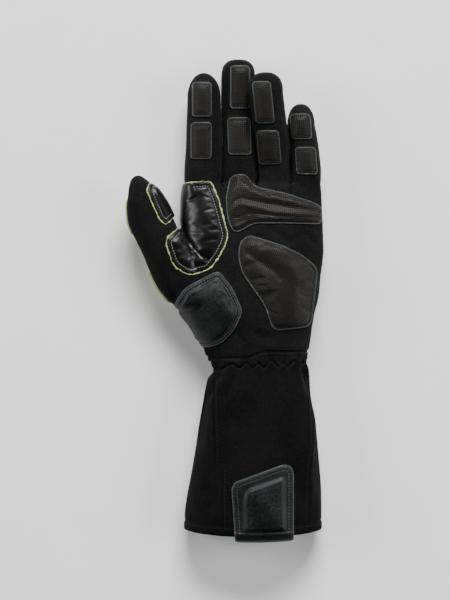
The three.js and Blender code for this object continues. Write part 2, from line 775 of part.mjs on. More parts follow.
addPart('palm_panel', palmPanel, knit);
addPart('back_panel', backPanel, knit);
gussetNames.forEach((name, i) => addPart(name, gussets[i], knit));
addPart('thumb_front', thumbFront, knit);
addPart('thumb_back', thumbBack, knit);
addPart('wrist_gather', wristGather, knit);
addPart('cuff_front', cuffFront, knit);
addPart('cuff_back', cuffBack, knit);
addPart('cuff_hem', cuffHem, knit);
fingers.forEach((finger) => fingerPads[finger.name].forEach((pad, i) => {
  addPart(`${finger.name}_${i ? 'lower' : 'tip'}_grip`, fingerPad(finger, pad), grip);
}));
addPart('knuckle_grip', strapPatch, grip);
addPart('heel_grip', heelPatch, grip);
addPart('web_leather', webLeather, smoothLeather);
addPart('web_edging', webEdging, lime);
addPart('thumb_leather', thumbLeather, smoothLeather);
addPart('thumb_edging', thumbEdging, lime);
addPart('thumb_heel_pad', thumbHeelPad, grainedLeather);
addPart('lime_knuckle_panel', limePanel(limeKnuckle), lime);
addPart('lime_root_panel', limePanel(limeRoot), lime);
addPart('pull_tab', pullTab, grainedLeather);

// The origin is the middle of the glove's plan, on the surface that it lies on.
const bounds = new THREE.Box3().setFromObject(glove);
const centre = bounds.getCenter(new THREE.Vector3());
glove.children.forEach((part) => part.position.set(-centre.x, -centre.y, -bounds.min.z));

export default glove;
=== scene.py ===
# %% [markdown]
# # A racing driver's glove
# A left-hand driving glove with a long gauntlet cuff lies palm up on a pale floor. Its shell is
# a fine black knit. Perforated grip leather is sewn on the fingers and the palm, smooth shiny
# leather fills the web of the thumb, and grained leather pads the root of the thumb. The packed
# solid model gives every place and size here, and this file adds the cloth, leather and thread.

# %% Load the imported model
import math

import bpy
import bmesh
import numpy as np
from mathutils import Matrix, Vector
from mathutils.bvhtree import BVHTree


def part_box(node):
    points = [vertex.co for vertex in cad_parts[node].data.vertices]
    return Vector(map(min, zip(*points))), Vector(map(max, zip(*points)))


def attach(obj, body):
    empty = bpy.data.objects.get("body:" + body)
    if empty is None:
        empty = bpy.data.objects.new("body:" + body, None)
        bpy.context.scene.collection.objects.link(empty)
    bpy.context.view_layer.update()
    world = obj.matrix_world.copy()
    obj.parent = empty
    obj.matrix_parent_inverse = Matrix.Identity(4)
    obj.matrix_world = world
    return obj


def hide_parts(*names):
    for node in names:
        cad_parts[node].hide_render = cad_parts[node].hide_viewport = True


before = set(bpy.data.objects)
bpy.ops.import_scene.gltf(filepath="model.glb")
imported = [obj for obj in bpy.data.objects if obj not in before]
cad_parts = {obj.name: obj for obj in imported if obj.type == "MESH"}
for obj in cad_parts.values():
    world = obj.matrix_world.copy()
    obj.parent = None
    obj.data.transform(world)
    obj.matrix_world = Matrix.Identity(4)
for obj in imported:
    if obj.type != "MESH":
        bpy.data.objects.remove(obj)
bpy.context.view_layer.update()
print("nodes in the packed model:", len(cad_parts))

# %% [markdown]
# The glove was drawn in millimetres, with its origin where the middle finger's line crosses the
# wrist seam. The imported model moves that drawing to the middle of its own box. The hem's box
# says how far, so the drawing's numbers can be used here without fitting anything by hand.

# %% From drawing millimetres to the model's metres
hem_low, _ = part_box("cuff_hem")
drawn_hem_low = (-46.41, -121.5)
origin = np.array([hem_low.x * 1000 - drawn_hem_low[0], hem_low.y * 1000 - drawn_hem_low[1], 0.0])


def hem_sag(points):
    """The palm side of the cuff's mouth droops a little in the middle."""
    x, y, z = np.moveaxis(np.asarray(points, float), -1, 0)
    middle = np.clip(1 - (x / 47) ** 2, 0, 1)
    return 2.8 * middle * np.clip((z - 8) / 16, 0, 1) * np.clip((-70 - y) / 50, 0, 1) ** 1.5


def to_metres(points):
    drawn = np.array(points, float)
    drawn[..., 1] -= hem_sag(drawn)
    return (drawn + origin) / 1000


print("drawing origin in the model, mm:", origin.round(3))

# %% [markdown]
# The camera comes first. The photograph looks straight down at the palm from about 1.3 m with a
# long lens, so the fingers hardly lean away from the middle of the picture.

# %% Camera
camera = bpy.data.objects.new("camera", bpy.data.cameras.new("camera"))
bpy.context.scene.collection.objects.link(camera)
camera_height = 1.3
camera.location = (0.00025, -0.0023, camera_height)
camera.data.sensor_width = 36
camera.data.lens = 36 * 1859.4 / 600
camera.data.clip_start, camera.data.clip_end = 0.05, 20
bpy.context.scene.camera = camera
print("lens, mm:", round(camera.data.lens, 1))

# %% [markdown]
# ## Sizes of the knit shell
# The hand, fingers, thumb and cuff are lofts: rows of sections that the cloth passes through.
# The tables hold the same shares as the solid model, but here a smooth curve runs through them,
# so the cloth has no facets.

# %% Sections of the hand, fingers, thumb and cuff
palm_width, palm_length, palm_thickness = 97.3, 116.6, 33.0
thumb_length, thumb_width, thumb_thickness, thumb_angle = 88.7, 30.0, 24.0, math.radians(23.9)
wrist_width, hem_width, cuff_thickness, cuff_centre = 66.0, 93.0, 33.0, 3.0
hem_y, split_height, crotch_y = -121.5, 12.4, 116.6

# along, left, right, bottom, top, dent
hand_sections = np.array([
    [-0.06, -0.315, 0.385, 0.04, 0.80, 0.00], [0.10, -0.386, 0.412, -0.02, 0.90, 0.02],
    [0.25, -0.502, 0.441, -0.06, 1.00, 0.07], [0.33, -0.566, 0.468, -0.06, 1.01, 0.10],
    [0.47, -0.556, 0.484, -0.06, 0.98, 0.11], [0.615, -0.514, 0.503, -0.06, 0.93, 0.09],
    [0.94, -0.497, 0.490, 0.00, 0.76, 0.01], [1.00, -0.488, 0.485, 0.05, 0.70, 0.00]])

# name: root, length, width, thickness, tip start, tip power, and rows of
# along, shift, width, rise, height
fingers = {
    "index": (-0.356, 77.6, 23.8, 20.0, 0.79, 2.0, [
        [-0.12, 0.010, 1.06, 0.62, 0.96], [0.10, 0.015, 1.10, 0.62, 1.03],
        [0.35, 0.035, 1.03, 0.64, 1.00], [0.79, 0.030, 0.95, 0.70, 0.86]]),
    "middle": (-0.0965, 87.3, 23.5, 19.0, 0.86, 2.8, [
        [-0.11, 0.000, 1.02, 0.65, 1.04], [0.31, 0.005, 0.985, 0.60, 1.00],
        [0.50, -0.020, 0.955, 0.56, 0.95], [0.69, -0.050, 0.955, 0.53, 0.90],
        [0.86, -0.035, 0.98, 0.53, 0.87]]),
    "ring": (0.1455, 76.9, 23.5, 19.0, 0.82, 2.5, [
        [-0.12, 0.005, 0.96, 0.65, 1.00], [0.135, 0.007, 0.955, 0.66, 1.03],
        [0.35, -0.035, 0.965, 0.88, 0.98], [0.565, -0.130, 0.995, 1.10, 0.94],
        [0.71, -0.200, 1.01, 1.19, 0.90], [0.82, -0.245, 1.01, 1.24, 0.88]]),
    "little": (0.378, 56.2, 20.7, 17.5, 0.72, 2.2, [
        [-0.16, -0.030, 0.94, 0.71, 0.98], [0.18, -0.013, 1.005, 0.71, 1.08],
        [0.38, -0.055, 0.985, 0.78, 1.02], [0.577, -0.118, 0.95, 0.86, 0.98],
        [0.72, -0.180, 0.905, 0.92, 0.94]]),
}

# along, inner, outer, centre, height
thumb_sections = np.array([[-0.10, 0.63, 0.36, 0.70, 1.16], [0.04, 0.60, 0.57, 0.71, 1.15],
                           [0.16, 0.50, 0.643, 0.73, 1.11], [0.295, 0.39, 0.655, 0.76, 1.06],
                           [0.41, 0.367, 0.643, 0.79, 1.01], [0.51, 0.343, 0.650, 0.81, 0.97],
                           [0.646, 0.343, 0.667, 0.83, 0.93], [0.786, 0.303, 0.563, 0.85, 0.86],
                           [0.864, 0.230, 0.437, 0.86, 0.74], [0.947, 0.120, 0.290, 0.87, 0.50],
                           [0.985, 0.040, 0.195, 0.87, 0.28]])

# down, flare, shift, bottom, top
cuff_sections = np.array([[-0.06, 0.32, -0.006, 0.05, 0.80], [0.045, -0.02, 0.014, 0.07, 0.78],
                          [0.085, -0.08, 0.022, 0.06, 0.79], [0.15, 0.08, 0.005, 0.03, 0.84],
                          [0.24, 0.21, -0.001, 0.00, 0.90], [0.36, 0.385, -0.001, -0.03, 0.94],
                          [0.62, 0.70, -0.009, -0.06, 0.99], [0.94, 0.98, -0.030, -0.06, 1.00],
                          [1.06, 0.99, -0.028, -0.06, 1.00]])
print("fingers:", ", ".join(fingers), "- thumb sections:", len(thumb_sections))

# %% [markdown]
# A section is a rounded, slightly square outline, called a superellipse. Its points are spread
# evenly along its length. A curve that never overshoots runs through each column of a table.

# %% Smooth tables and outlines


def smooth_rows(table, at):
    """Rows at new positions: a monotone cubic through each column of the table."""
    x, y = table[:, 0], table[:, 1:]
    step = np.diff(x)[:, None]
    slope = np.diff(y, axis=0) / step
    tangent = np.zeros_like(y)
    tangent[0], tangent[-1] = slope[0], slope[-1]
    same = slope[:-1] * slope[1:] > 0
    w1, w2 = 2 * step[1:] + step[:-1], step[1:] + 2 * step[:-1]
    with np.errstate(divide="ignore", invalid="ignore"):
        mean = (w1 + w2) / (w1 / slope[:-1] + w2 / slope[1:])
    tangent[1:-1] = np.where(same, mean, 0)
    at = np.asarray(at, float)
    i = np.clip(np.searchsorted(x, at) - 1, 0, len(x) - 2)
    t = ((at - x[i]) / (x[i + 1] - x[i]))[:, None]
    h = (x[i + 1] - x[i])[:, None]
    return ((2 * t**3 - 3 * t**2 + 1) * y[i] + (t**3 - 2 * t**2 + t) * h * tangent[i]
            + (-2 * t**3 + 3 * t**2) * y[i + 1] + (t**3 - t**2) * h * tangent[i + 1])


def hump(distance, width):
    """1 on a line, fading smoothly to 0 on both sides of it."""
    return np.exp(-((distance / width) ** 2))


def section(x, y, z, half, up, down, powers, count, dent=0.0):
    """One closed outline of count points at y, flat on the floor where it would go under it."""
    angle = np.linspace(0, 2 * np.pi, 361)
    side, top, bottom = powers
    across = np.sign(np.cos(angle)) * np.abs(np.cos(angle)) ** (2 / side)
    s = np.sin(angle)
    lift = np.where(s > 0, up * np.abs(s) ** (2 / top) - dent * hump(across, 0.38),
                    -down * np.abs(s) ** (2 / bottom))
    px, pz = half * across, lift
    run = np.concatenate([[0], np.cumsum(np.hypot(np.diff(px), np.diff(pz)))])
    want = np.linspace(0, run[-1], count, endpoint=False)
    ring = np.stack([x + np.interp(want, run, px), np.full(count, y), z + np.interp(want, run, pz)],
                    1)
    ring[:, 2] = np.maximum(ring[:, 2], 0.0)
    return ring


def loft_faces(rings, count, close=True):
    """Quads between rings of count points, with a fan over each end."""
    faces = []
    for i in range(rings - 1):
        a = i * count
        faces += [(a + k, a + count + k, a + count + (k + 1) % count, a + (k + 1) % count)
                  for k in range(count)]
    if close:
        faces.append(tuple(range(count)))
        faces.append(tuple((rings - 1) * count + k for k in reversed(range(count))))
    return faces


print("a palm section has", len(section(0, 0, 12, 40, 15, 12, (2.5, 2.2, 3.2), 64)), "points")

# %% Lofts of the hand, each finger and the thumb


def hand_section(y, row, count, dented=True):
    """The outline of the hand at y, from one row of its table."""
    left, right, bottom, top, dent = row
    return section((left + right) / 2 * palm_width, y, split_height,
                   (right - left) / 2 * palm_width, top * palm_thickness - split_height,
                   split_height - bottom * palm_thickness, (2.5, 2.2, 3.2), count,
                   dent * palm_thickness if dented else 0.0)


def hand_loft():
    along = np.linspace(-0.06, 1.0, 90)
    return [hand_section(at * palm_length, row, 96) for at,
            row in zip(along, smooth_rows(hand_sections, along))]


def finger_centre(name, along):
    """Centre and half sizes of a finger at shares of its length."""
    root, length, width, thickness, tip_start, power, rows = fingers[name]
    rows = np.array(rows)
    along = np.asarray(along, float)
    shift, wide, rise, high = smooth_rows(rows, np.minimum(along, tip_start)).T
    t = np.clip((along - tip_start) / (1 - tip_start), 0, 1)
    size = (1 - t**power) ** (1 / power)
    return (root * palm_width + shift * width, crotch_y + along * length, rise * thickness,
            wide * width / 2 * size, high * thickness / 2 * size)


def finger_loft(name):
    start, tip_start = fingers[name][6][0][0], fingers[name][4]
    turn = np.sin(np.linspace(0, np.pi / 2 * 0.985, 16))
    along = np.concatenate([np.linspace(start, tip_start, 60)[:-1],
                            tip_start + (1 - tip_start) * turn])
    return [section(x, y, z, max(half, 0.2), max(high, 0.2), max(high, 0.2), (2.3, 2.3, 2.3), 48)
            for x, y, z, half, high in zip(*finger_centre(name, along))]


thumb_root = (-0.447 * palm_width, 0.367 * palm_length)


def thumb_to_palm(points):
    """From the thumb's own frame, with its axis along +Y, to the drawing."""
    c, s = math.cos(thumb_angle), math.sin(thumb_angle)
    p = np.asarray(points, float)
    out = p.copy()
    out[..., 0] = c * p[..., 0] - s * p[..., 1] + thumb_root[0]
    out[..., 1] = s * p[..., 0] + c * p[..., 1] + thumb_root[1]
    return out


def thumb_loft():
    along = np.concatenate([np.linspace(-0.10, 0.864, 56)[:-1], np.linspace(0.864, 0.985, 12)])
    rings = []
    for at, (inner, outer, centre, height) in zip(along, smooth_rows(thumb_sections, along)):
        half, high = max((inner + outer) / 2 * thumb_width, 0.2), max(height * thumb_thickness / 2,
                                                                      0.2)
        ring = section((inner - outer) / 2 * thumb_width, at * thumb_length,
                       centre * thumb_thickness, half, high, high, (2.2, 2.1, 2.1), 56)
        rings.append(thumb_to_palm(ring))
    tip = np.array([[(0.04 - 0.195) / 2 * thumb_width, thumb_length, 0.87 * thumb_thickness]])
    rings.append(thumb_to_palm(np.repeat(tip, 56, 0)))
    return rings


print("thumb tip in the drawing, mm:", thumb_loft()[-1][0].round(1))

# %% [markdown]
# ## One skin from overlapping lofts
# Voxel remeshing fuses overlapping closed forms into one even skin, which gives the soft
# webs between fingers for free. Neighbouring fingers nearly touch, though, and voxels would weld
# them. So the fingers are spread apart first, the skin is made, and each point is moved back.

# %% Spread the fingers, remesh, and close them again
spread_at_root = {"index": -3.2, "middle": -1.1, "ring": 1.1, "little": 3.2}
spread_growth = {"index": -0.05, "middle": -0.03, "ring": 0.10, "little": 0.10}


def finger_rows(y):
    """Centre and half width of each finger at heights y of the drawing."""
    rows = {}
    for name, row in fingers.items():
        along = (np.asarray(y, float) - crotch_y) / row[1]
        x, _, z, half, high = finger_centre(name, np.clip(along, -0.11, 1.0))
        rows[name] = (x, half, z, high)
    return rows


def spread_shift(y, name):
    ease = np.clip((y - (crotch_y - 26)) / 27.0, 0, 1)
    ease = ease * ease * (3 - 2 * ease)
    return spread_at_root[name] * ease + spread_growth[name] * np.maximum(y - crotch_y, 0)


def shift_between(x, y, sign):
    """Sideways shift at points of the whole hand: constant across each finger, blended between."""
    knots, values = [], []
    for name, (cx, half, *_) in finger_rows(y).items():
        s = spread_shift(y, name)
        cx = cx + (s if sign < 0 else 0)
        flat = 0.86 * np.maximum(half, 6.0)
        knots += [cx - flat, cx + flat]
        values += [s, s]
    knots, values = np.array(knots), np.array(values)
    out = values[0].copy()
    for i in range(len(knots) - 1):
        width = np.maximum(knots[i + 1] - knots[i], 1e-6)
        t = np.clip((x - knots[i]) / width, 0, 1)
        out = out + (values[i + 1] - values[i]) * t
    return sign * out


def spread_points(points, name=None):
    p = points.copy()
    p[:, 0] += spread_shift(p[:, 1], name) if name else shift_between(p[:, 0], p[:, 1], 1)
    return p


def link(name, verts, faces):
    mesh = bpy.data.meshes.new(name)
    mesh.from_pydata([tuple(v) for v in verts], [], [tuple(f) for f in faces])
    mesh.validate()
    solid = bmesh.new()
    solid.from_mesh(mesh)
    bmesh.ops.recalc_face_normals(solid, faces=solid.faces)
    solid.to_mesh(mesh)
    solid.free()
    piece = bpy.data.objects.new(name, mesh)
    bpy.context.scene.collection.objects.link(piece)
    return piece


def applied(piece):
    """The piece's mesh with its modifiers applied, and the modifiers gone."""
    graph = bpy.context.evaluated_depsgraph_get()
    mesh = bpy.data.meshes.new_from_object(piece.evaluated_get(graph))
    piece.modifiers.clear()
    piece.data = mesh
    return piece


def coordinates(piece):
    co = np.empty(len(piece.data.vertices) * 3)
    piece.data.vertices.foreach_get("co", co)
    return co.reshape(-1, 3)


def set_coordinates(piece, co):
    piece.data.vertices.foreach_set("co", np.asarray(co, float).ravel())
    piece.data.update()


lofts = [(None, hand_loft()), (None, thumb_loft())] + [(name, finger_loft(name))
                                                       for name in fingers]
verts, faces = [], []
for number, (name, rings) in enumerate(lofts):
    start = len(verts)
    points = np.concatenate(rings)
    verts += list(points if number == 1 else spread_points(points, name))
    faces += [tuple(i + start for i in f) for f in loft_faces(len(rings), len(rings[0]))]
skin = link("hand_skin", np.array(verts), faces)
remesh = skin.modifiers.new("remesh", "REMESH")
remesh.mode = "VOXEL"
remesh.voxel_size = 1.32
soften = skin.modifiers.new("soften", "SMOOTH")
soften.factor, soften.iterations = 0.5, 7
applied(skin)
co = coordinates(skin)
print("skin points after remesh:", len(co), "faces:", len(skin.data.polygons))

# %% Move each finger back, and cut the skin open at the wrist


def finger_of(points, spread=True):
    """Number of the finger that each point belongs to, or -1 on the hand and thumb."""
    owner = np.full(len(points), -1)
    best = np.full(len(points), 1e9)
    rows = finger_rows(points[:, 1])
    for i, (name, (cx, half, z, high)) in enumerate(rows.items()):
        cx = cx + (spread_shift(points[:, 1], name) if spread else 0)
        d = np.hypot((points[:, 0] - cx) / np.maximum(half, 4),
                     (points[:, 2] - z) / np.maximum(high, 4))
        hit = (d < best) & (points[:, 1] > crotch_y)
        best[hit], owner[hit] = d[hit], i
    owner[(points[:, 0] < -56) & (points[:, 1] < 135)] = -1
    return owner


owner = finger_of(co)
closed = co.copy()
names = list(fingers)
closed[:, 0] += shift_between(co[:, 0], co[:, 1], -1)
ease = np.clip((co[:, 1] - crotch_y - 2) / 6, 0, 1)
for i, name in enumerate(names):
    mine = owner == i
    exact = co[mine, 0] - spread_shift(co[mine, 1], name)
    closed[mine, 0] = closed[mine, 0] * (1 - ease[mine]) + exact * ease[mine]
thumb_side = (co[:, 0] < -52) & (owner < 0)
closed[thumb_side, 0] = co[thumb_side, 0]
print("widest move back, mm:", round(float(np.abs(closed - co).max()), 2))

# %% [markdown]
# ## The fold where the thumb's root lies on the palm
# The leather in the web of the thumb folds over itself, and the root of the thumb rides up on the
# palm there. The skin gets that step before anything is sewn on it, so every piece follows it.
# A few shallow creases and a slow unevenness make the knit look like cloth that has been worn.

# %% Distances to a line in plan


def line_gap(points, line, closed=False):
    """Distance from plan points to a line, the side they are on, and the share along it."""
    line = np.asarray(line, float)
    ends = np.roll(line, -1, axis=0) if closed else line[1:]
    starts = line if closed else line[:-1]
    p = np.asarray(points, float)[:, None, :2]
    d = ends - starts
    size = np.maximum((d**2).sum(1), 1e-9)
    t = np.clip(((p - starts) * d).sum(2) / size, 0, 1)
    off = p - (starts + t[..., None] * d)
    gap = np.hypot(off[..., 0], off[..., 1])
    best = gap.argmin(1)
    rows = np.arange(len(best))
    side = np.sign(d[best, 0] * off[rows, best, 1] - d[best, 1] * off[rows, best, 0])
    return gap[rows, best], side, (best + t[rows, best]) / len(starts)


def smooth_step(value, low, high):
    t = np.clip((np.asarray(value, float) - low) / (high - low), 0, 1)
    return t * t * (3 - 2 * t)


pixel_mm, origin_pixel = 0.69, (253, 354)


def photo_line(*pixels):
    """Drawing millimetres of points read off the photograph at the height of the palm."""
    return np.array([((px - origin_pixel[0]) * pixel_mm, (origin_pixel[1] - py) * pixel_mm) for px,
                     py in pixels])


thumb_fold = photo_line((178.6, 230), (185, 237.5), (191.5, 247), (199, 254.5), (204.5, 259.5),
                        (209, 263.8))
print("fold length, mm:", np.hypot(*np.diff(thumb_fold, axis=0).T).sum().round(1))

# %% Slow unevenness, the thumb's fold and a few creases
from mathutils import noise

creases = [(photo_line((262, 229), (274, 232), (286, 240), (296, 243)), 0.55, 2.4),
           (photo_line((240, 244), (252, 238), (268, 238)), 0.35, 2.2),
           (photo_line((300, 232), (309, 238), (316, 247)), 0.45, 2.0),
           (photo_line((252, 331), (262, 337), (277, 338)), 0.60, 2.6),
           (photo_line((236, 330), (241, 338), (242, 348)), 0.45, 2.4),
           (photo_line((170, 300), (178, 292), (186, 284)), 0.45, 2.6)]
thumb_seam = photo_line((133, 186), (130.5, 193), (131.4, 201), (137, 215.7), (143.5, 235),
                        (152.9, 256.5), (165, 278), (171.4, 290.5), (177.5, 303))


def uneven(points, scale, seed):
    """Soft noise from -1 to 1 at drawing points, the same on each run."""
    return np.array([noise.noise(Vector((p[0] * scale + seed, p[1] * scale, p[2] * scale)))
                     for p in points])


def fold_height(points):
    """How far the skin rises or sinks beside the thumb's fold."""
    gap, side, share = line_gap(points, thumb_fold)
    fade = smooth_step(share, 0.0, 0.12) * (1 - smooth_step(share, 0.86, 1.0))
    thumb_rise = 1.7 * np.exp(-gap / 9.0) * smooth_step(gap, -0.5, 1.4)
    palm_dip = -1.5 * hump(gap, 3.2)
    return fade * np.where(side < 0, thumb_rise, palm_dip)


def skin_relief(points):
    lift = 0.28 * uneven(points, 0.05, 3.1) + 0.10 * uneven(points, 0.16, 8.4)
    top = smooth_step(points[:, 2], 15, 20)
    lift = lift + top * fold_height(points)
    for line, depth, width in creases:
        gap, _, share = line_gap(points, line)
        ends = smooth_step(share, 0, 0.2) * (1 - smooth_step(share, 0.8, 1.0))
        lift = lift - top * ends * 1.6 * depth * (hump(gap, width)
                                                  - 0.45 * hump(gap - 2 * width, width))
    gap, _, _ = line_gap(points, thumb_seam)
    return lift - (points[:, 2] > 8) * 0.7 * hump(gap, 1.0)


def point_normals(piece):
    piece.data.update()
    out = np.empty(len(piece.data.vertices) * 3)
    piece.data.vertices.foreach_get("normal", out)
    return out.reshape(-1, 3)


set_coordinates(skin, closed)
lift = skin_relief(closed)
closed = closed + point_normals(skin) * lift[:, None]
closed[:, 2] = np.maximum(closed[:, 2], 0.0)
set_coordinates(skin, closed)
print("skin relief, mm:", lift.min().round(2), "to", lift.max().round(2))

# %% Open the wrist along its slanted seam


def seam_y(x):
    """The wrist seam: low on the thumb side, high on the other, with a short slope between."""
    rise = smooth_step(np.asarray(x, float), -0.07 * palm_width, 0.10 * palm_width)
    return (-0.02 + 0.038 * rise) * palm_length


closed[:, 1] -= seam_y(closed[:, 0])
closed[np.abs(closed[:, 1]) < 0.3, 1] = 0.0
set_coordinates(skin, closed)
cut = bmesh.new()
cut.from_mesh(skin.data)
bmesh.ops.bisect_plane(cut, geom=cut.verts[:] + cut.edges[:] + cut.faces[:], dist=1e-4,
                       plane_co=(0, 0, 0), plane_no=(0, 1, 0), clear_inner=True)
cut.to_mesh(skin.data)
cut.free()
closed = coordinates(skin)
closed[:, 1] += seam_y(closed[:, 0])
set_coordinates(skin, closed)
turned_in = 0.95 * hump(closed[:, 1] - seam_y(closed[:, 0]), 1.0)
closed = closed - point_normals(skin) * turned_in[:, None]
set_coordinates(skin, closed)
print("skin points above the wrist seam:", len(closed))

# %% [markdown]
# ## Finding the skin under a sewn piece
# Every patch is first a flat grid inside its outline, as it would be cut from leather. Rays drop
# from above to find the skin under each point, and the point is set on it. A finger's pads only
# look for their own finger, because the ring finger lies partly over the middle one.

# %% Search trees of the skin


class Surface:
    """A mesh to drop points on, with smooth normals."""

    def __init__(self, points, polygons, normals):
        self.points, self.polygons, self.normals = points, polygons, normals
        self.tree = BVHTree.FromPolygons([tuple(p) for p in points], polygons)

    def smooth_normal(self, place, index):
        corners = self.polygons[index]
        weight = 1 / (np.linalg.norm(self.points[list(corners)] - place, axis=1) + 0.05)
        mixed = (self.normals[list(corners)] * weight[:, None]).sum(0)
        return mixed / np.linalg.norm(mixed)

    def drop(self, xy, beside=13.4, above=90.0):
        """Points and normals of the surface below plan points, or nearest to them past its edge."""
        places, directions = [], []
        for x, y in xy:
            hit, _, index, _ = self.tree.ray_cast(Vector((x, y, above)), Vector((0, 0, -1)))
            if hit is None or hit.z < beside:
                edge, _, _, _ = self.tree.find_nearest(Vector((x, y, beside)))
                past = math.hypot(x - edge.x, y - edge.y)
                lower = max(beside - 0.9 * past, 3.0)
                hit, _, index, _ = self.tree.find_nearest(Vector((x, y, lower)))
            places.append(tuple(hit))
            directions.append(self.smooth_normal(np.array(hit), index))
        return np.array(places), np.array(directions)


skin_polygons = [tuple(p.vertices) for p in skin.data.polygons]
skin_normals = point_normals(skin)
skin_surface = Surface(closed, skin_polygons, skin_normals)
closed_owner = finger_of(closed, spread=False)


def part_surface(keep):
    return Surface(closed, [f for f in skin_polygons if all(keep[i] for i in f)], skin_normals)


finger_surfaces = {name: part_surface((closed_owner == i)
                                      | ((closed[:, 1] < crotch_y) & (closed[:, 1] > 100))) for i,
                   name in enumerate(names)}


def palm_to_thumb(points):
    """Plan places in the thumb's own frame: across it, and along it from its root."""
    c, s = math.cos(-thumb_angle), math.sin(-thumb_angle)
    x, y = (points[:, :2] - thumb_root).T
    return np.stack([c * x - s * y, s * x + c * y], 1)


in_thumb = palm_to_thumb(closed)
thumb_surface = part_surface((np.abs(in_thumb[:, 0]) < 15) & (in_thumb[:, 1] > 36)
                             & (closed_owner < 0))


def on_thumb(xy):
    """The thumb is widest higher up than the hand, so its side starts higher too."""
    return thumb_surface.drop(xy, beside=19.0)


print("finger faces:", {name: len(s.polygons) for name, s in finger_surfaces.items()}, "thumb:",
      len(thumb_surface.polygons))

# %% [markdown]
# ## Patches, rims, edgings and stitches
# A patch is a grid clipped to its outline, laid on the skin and raised by its own thickness. It
# gets a rounded edge, side walls and a bottom sunk into the skin. Rims and raw edges are tubes
# along the outline, and each stitch is a small capsule of thread lying on the leather.

# %% Outlines and grids in plan


def rounded(corners, radius, step=0.6):
    """A closed outline with rounded corners, as evenly spaced points."""
    corners = np.asarray(corners, float)
    line = []
    for i, corner in enumerate(corners):
        before, after = corners[i - 1], corners[(i + 1) % len(corners)]
        la, lb = np.linalg.norm(before - corner), np.linalg.norm(after - corner)
        reach = min(radius, la / 2.2, lb / 2.2)
        start, end = corner + (before - corner) * reach / la, corner + (after - corner) * reach / lb
        for t in np.linspace(0, 1, 7):
            line.append((1 - t) ** 2 * start + 2 * t * (1 - t) * corner + t**2 * end)
    return resampled(np.array(line), step, closed=True)


def resampled(line, step, closed=False):
    """The same line with points a step apart."""
    path = np.vstack([line, line[:1]]) if closed else np.asarray(line, float)
    run = np.concatenate([[0], np.cumsum(np.linalg.norm(np.diff(path, axis=0), axis=1))])
    count = max(int(round(run[-1] / step)), 3)
    want = np.linspace(0, run[-1], count + (not closed), endpoint=not closed)
    return np.stack([np.interp(want, run, path[:, k]) for k in range(path.shape[1])], 1)


def inside(points, outline):
    """True for plan points inside a closed outline."""
    x, y = points[:, 0][:, None], points[:, 1][:, None]
    x1, y1 = outline[:, 0], outline[:, 1]
    x2, y2 = np.roll(x1, -1), np.roll(y1, -1)
    with np.errstate(divide="ignore", invalid="ignore"):
        crossing = ((y1 > y) != (y2 > y)) & (x < (x2 - x1) * (y - y1) / (y2 - y1) + x1)
    return crossing.sum(1) % 2 == 1


def offset_line(line, distance, closed=True):
    """The line moved sideways: inwards for a positive distance when it runs anticlockwise."""
    ahead = np.roll(line, -1, axis=0) - np.roll(line, 1, axis=0)
    if not closed:
        ahead[0], ahead[-1] = line[1] - line[0], line[-1] - line[-2]
    ahead = ahead / np.maximum(np.linalg.norm(ahead, axis=1), 1e-9)[:, None]
    area = (line[:, 0] * np.roll(line[:, 1], -1) - np.roll(line[:, 0], -1) * line[:, 1]).sum()
    turn = np.sign(area) if closed else 1.0
    side = np.stack([-ahead[:, 1], ahead[:, 0]], 1) * turn
    moved = line[:, :2] + side * distance
    if closed:  # drop the points that a sharp corner folds over
        gap, _, _ = line_gap(moved, line, closed=True)
        moved = moved[gap > abs(distance) * 0.93]
    return moved


def plan_grid(outline, step, angle=0.0):
    """Grid points and quads inside an outline, with the border points set on it."""
    c, s = math.cos(angle), math.sin(angle)
    turn = np.array([[c, s], [-s, c]])
    turned = outline @ turn.T
    low, high = turned.min(0) - step, turned.max(0) + step
    nx, ny = (int(n) + 2 for n in (high - low) / step)
    gx, gy = np.meshgrid(low[0] + step * np.arange(nx), low[1] + step * np.arange(ny),
                         indexing="ij")
    points = np.stack([gx.ravel(), gy.ravel()], 1)
    gap, side, share = line_gap(points, turned, closed=True)
    within = inside(points, turned)
    snap = (gap < 0.55 * step)
    spot = share[snap] * len(turned)
    i = np.floor(spot).astype(int) % len(turned)
    f = (spot - np.floor(spot))[:, None]
    points[snap] = turned[i] * (1 - f) + turned[(i + 1) % len(turned)] * f
    keep = within | snap
    number = np.arange(nx * ny).reshape(nx, ny)
    quads = np.stack([number[:-1, :-1], number[1:, :-1], number[1:, 1:], number[:-1, 1:]],
                     -1).reshape(-1, 4)
    centre = points[quads].mean(1)
    quads = quads[keep[quads].all(1) & inside(centre, turned)]
    used = np.unique(quads)
    renumber = np.full(nx * ny, -1)
    renumber[used] = np.arange(len(used))
    depth = np.where(snap, 0.0, gap)[used]
    return points[used] @ turn, renumber[quads], depth, points[used]


test_grid = plan_grid(rounded([(0, 0), (20, 0), (20, 12), (0, 12)], 3), 0.8)
print("a 20 x 12 mm patch takes", len(test_grid[1]), "quads")

# %% A sewn patch


def shell_mesh(name, top, bottom, quads):
    """A closed piece from a top sheet and a bottom sheet with the same quads."""
    count = len(top)
    edges = {}
    for q in quads:
        for a, b in zip(q, np.roll(q, -1)):
            edges[(a, b)] = True
    rim = [(a, b) for a, b in edges if (b, a) not in edges]
    faces = [tuple(q) for q in quads] + [tuple(q[::-1] + count) for q in quads]
    faces += [(b, a, a + count, b + count) for a, b in rim]
    return link(name, to_metres(np.concatenate([top, bottom])), faces)


def edge_profile(depth, radius):
    """0 at the cut edge, rising in a quarter circle to 1 at a distance of radius."""
    t = np.clip(depth / radius, 0, 1)
    return np.sqrt(np.maximum(1 - (1 - t) ** 2, 0))


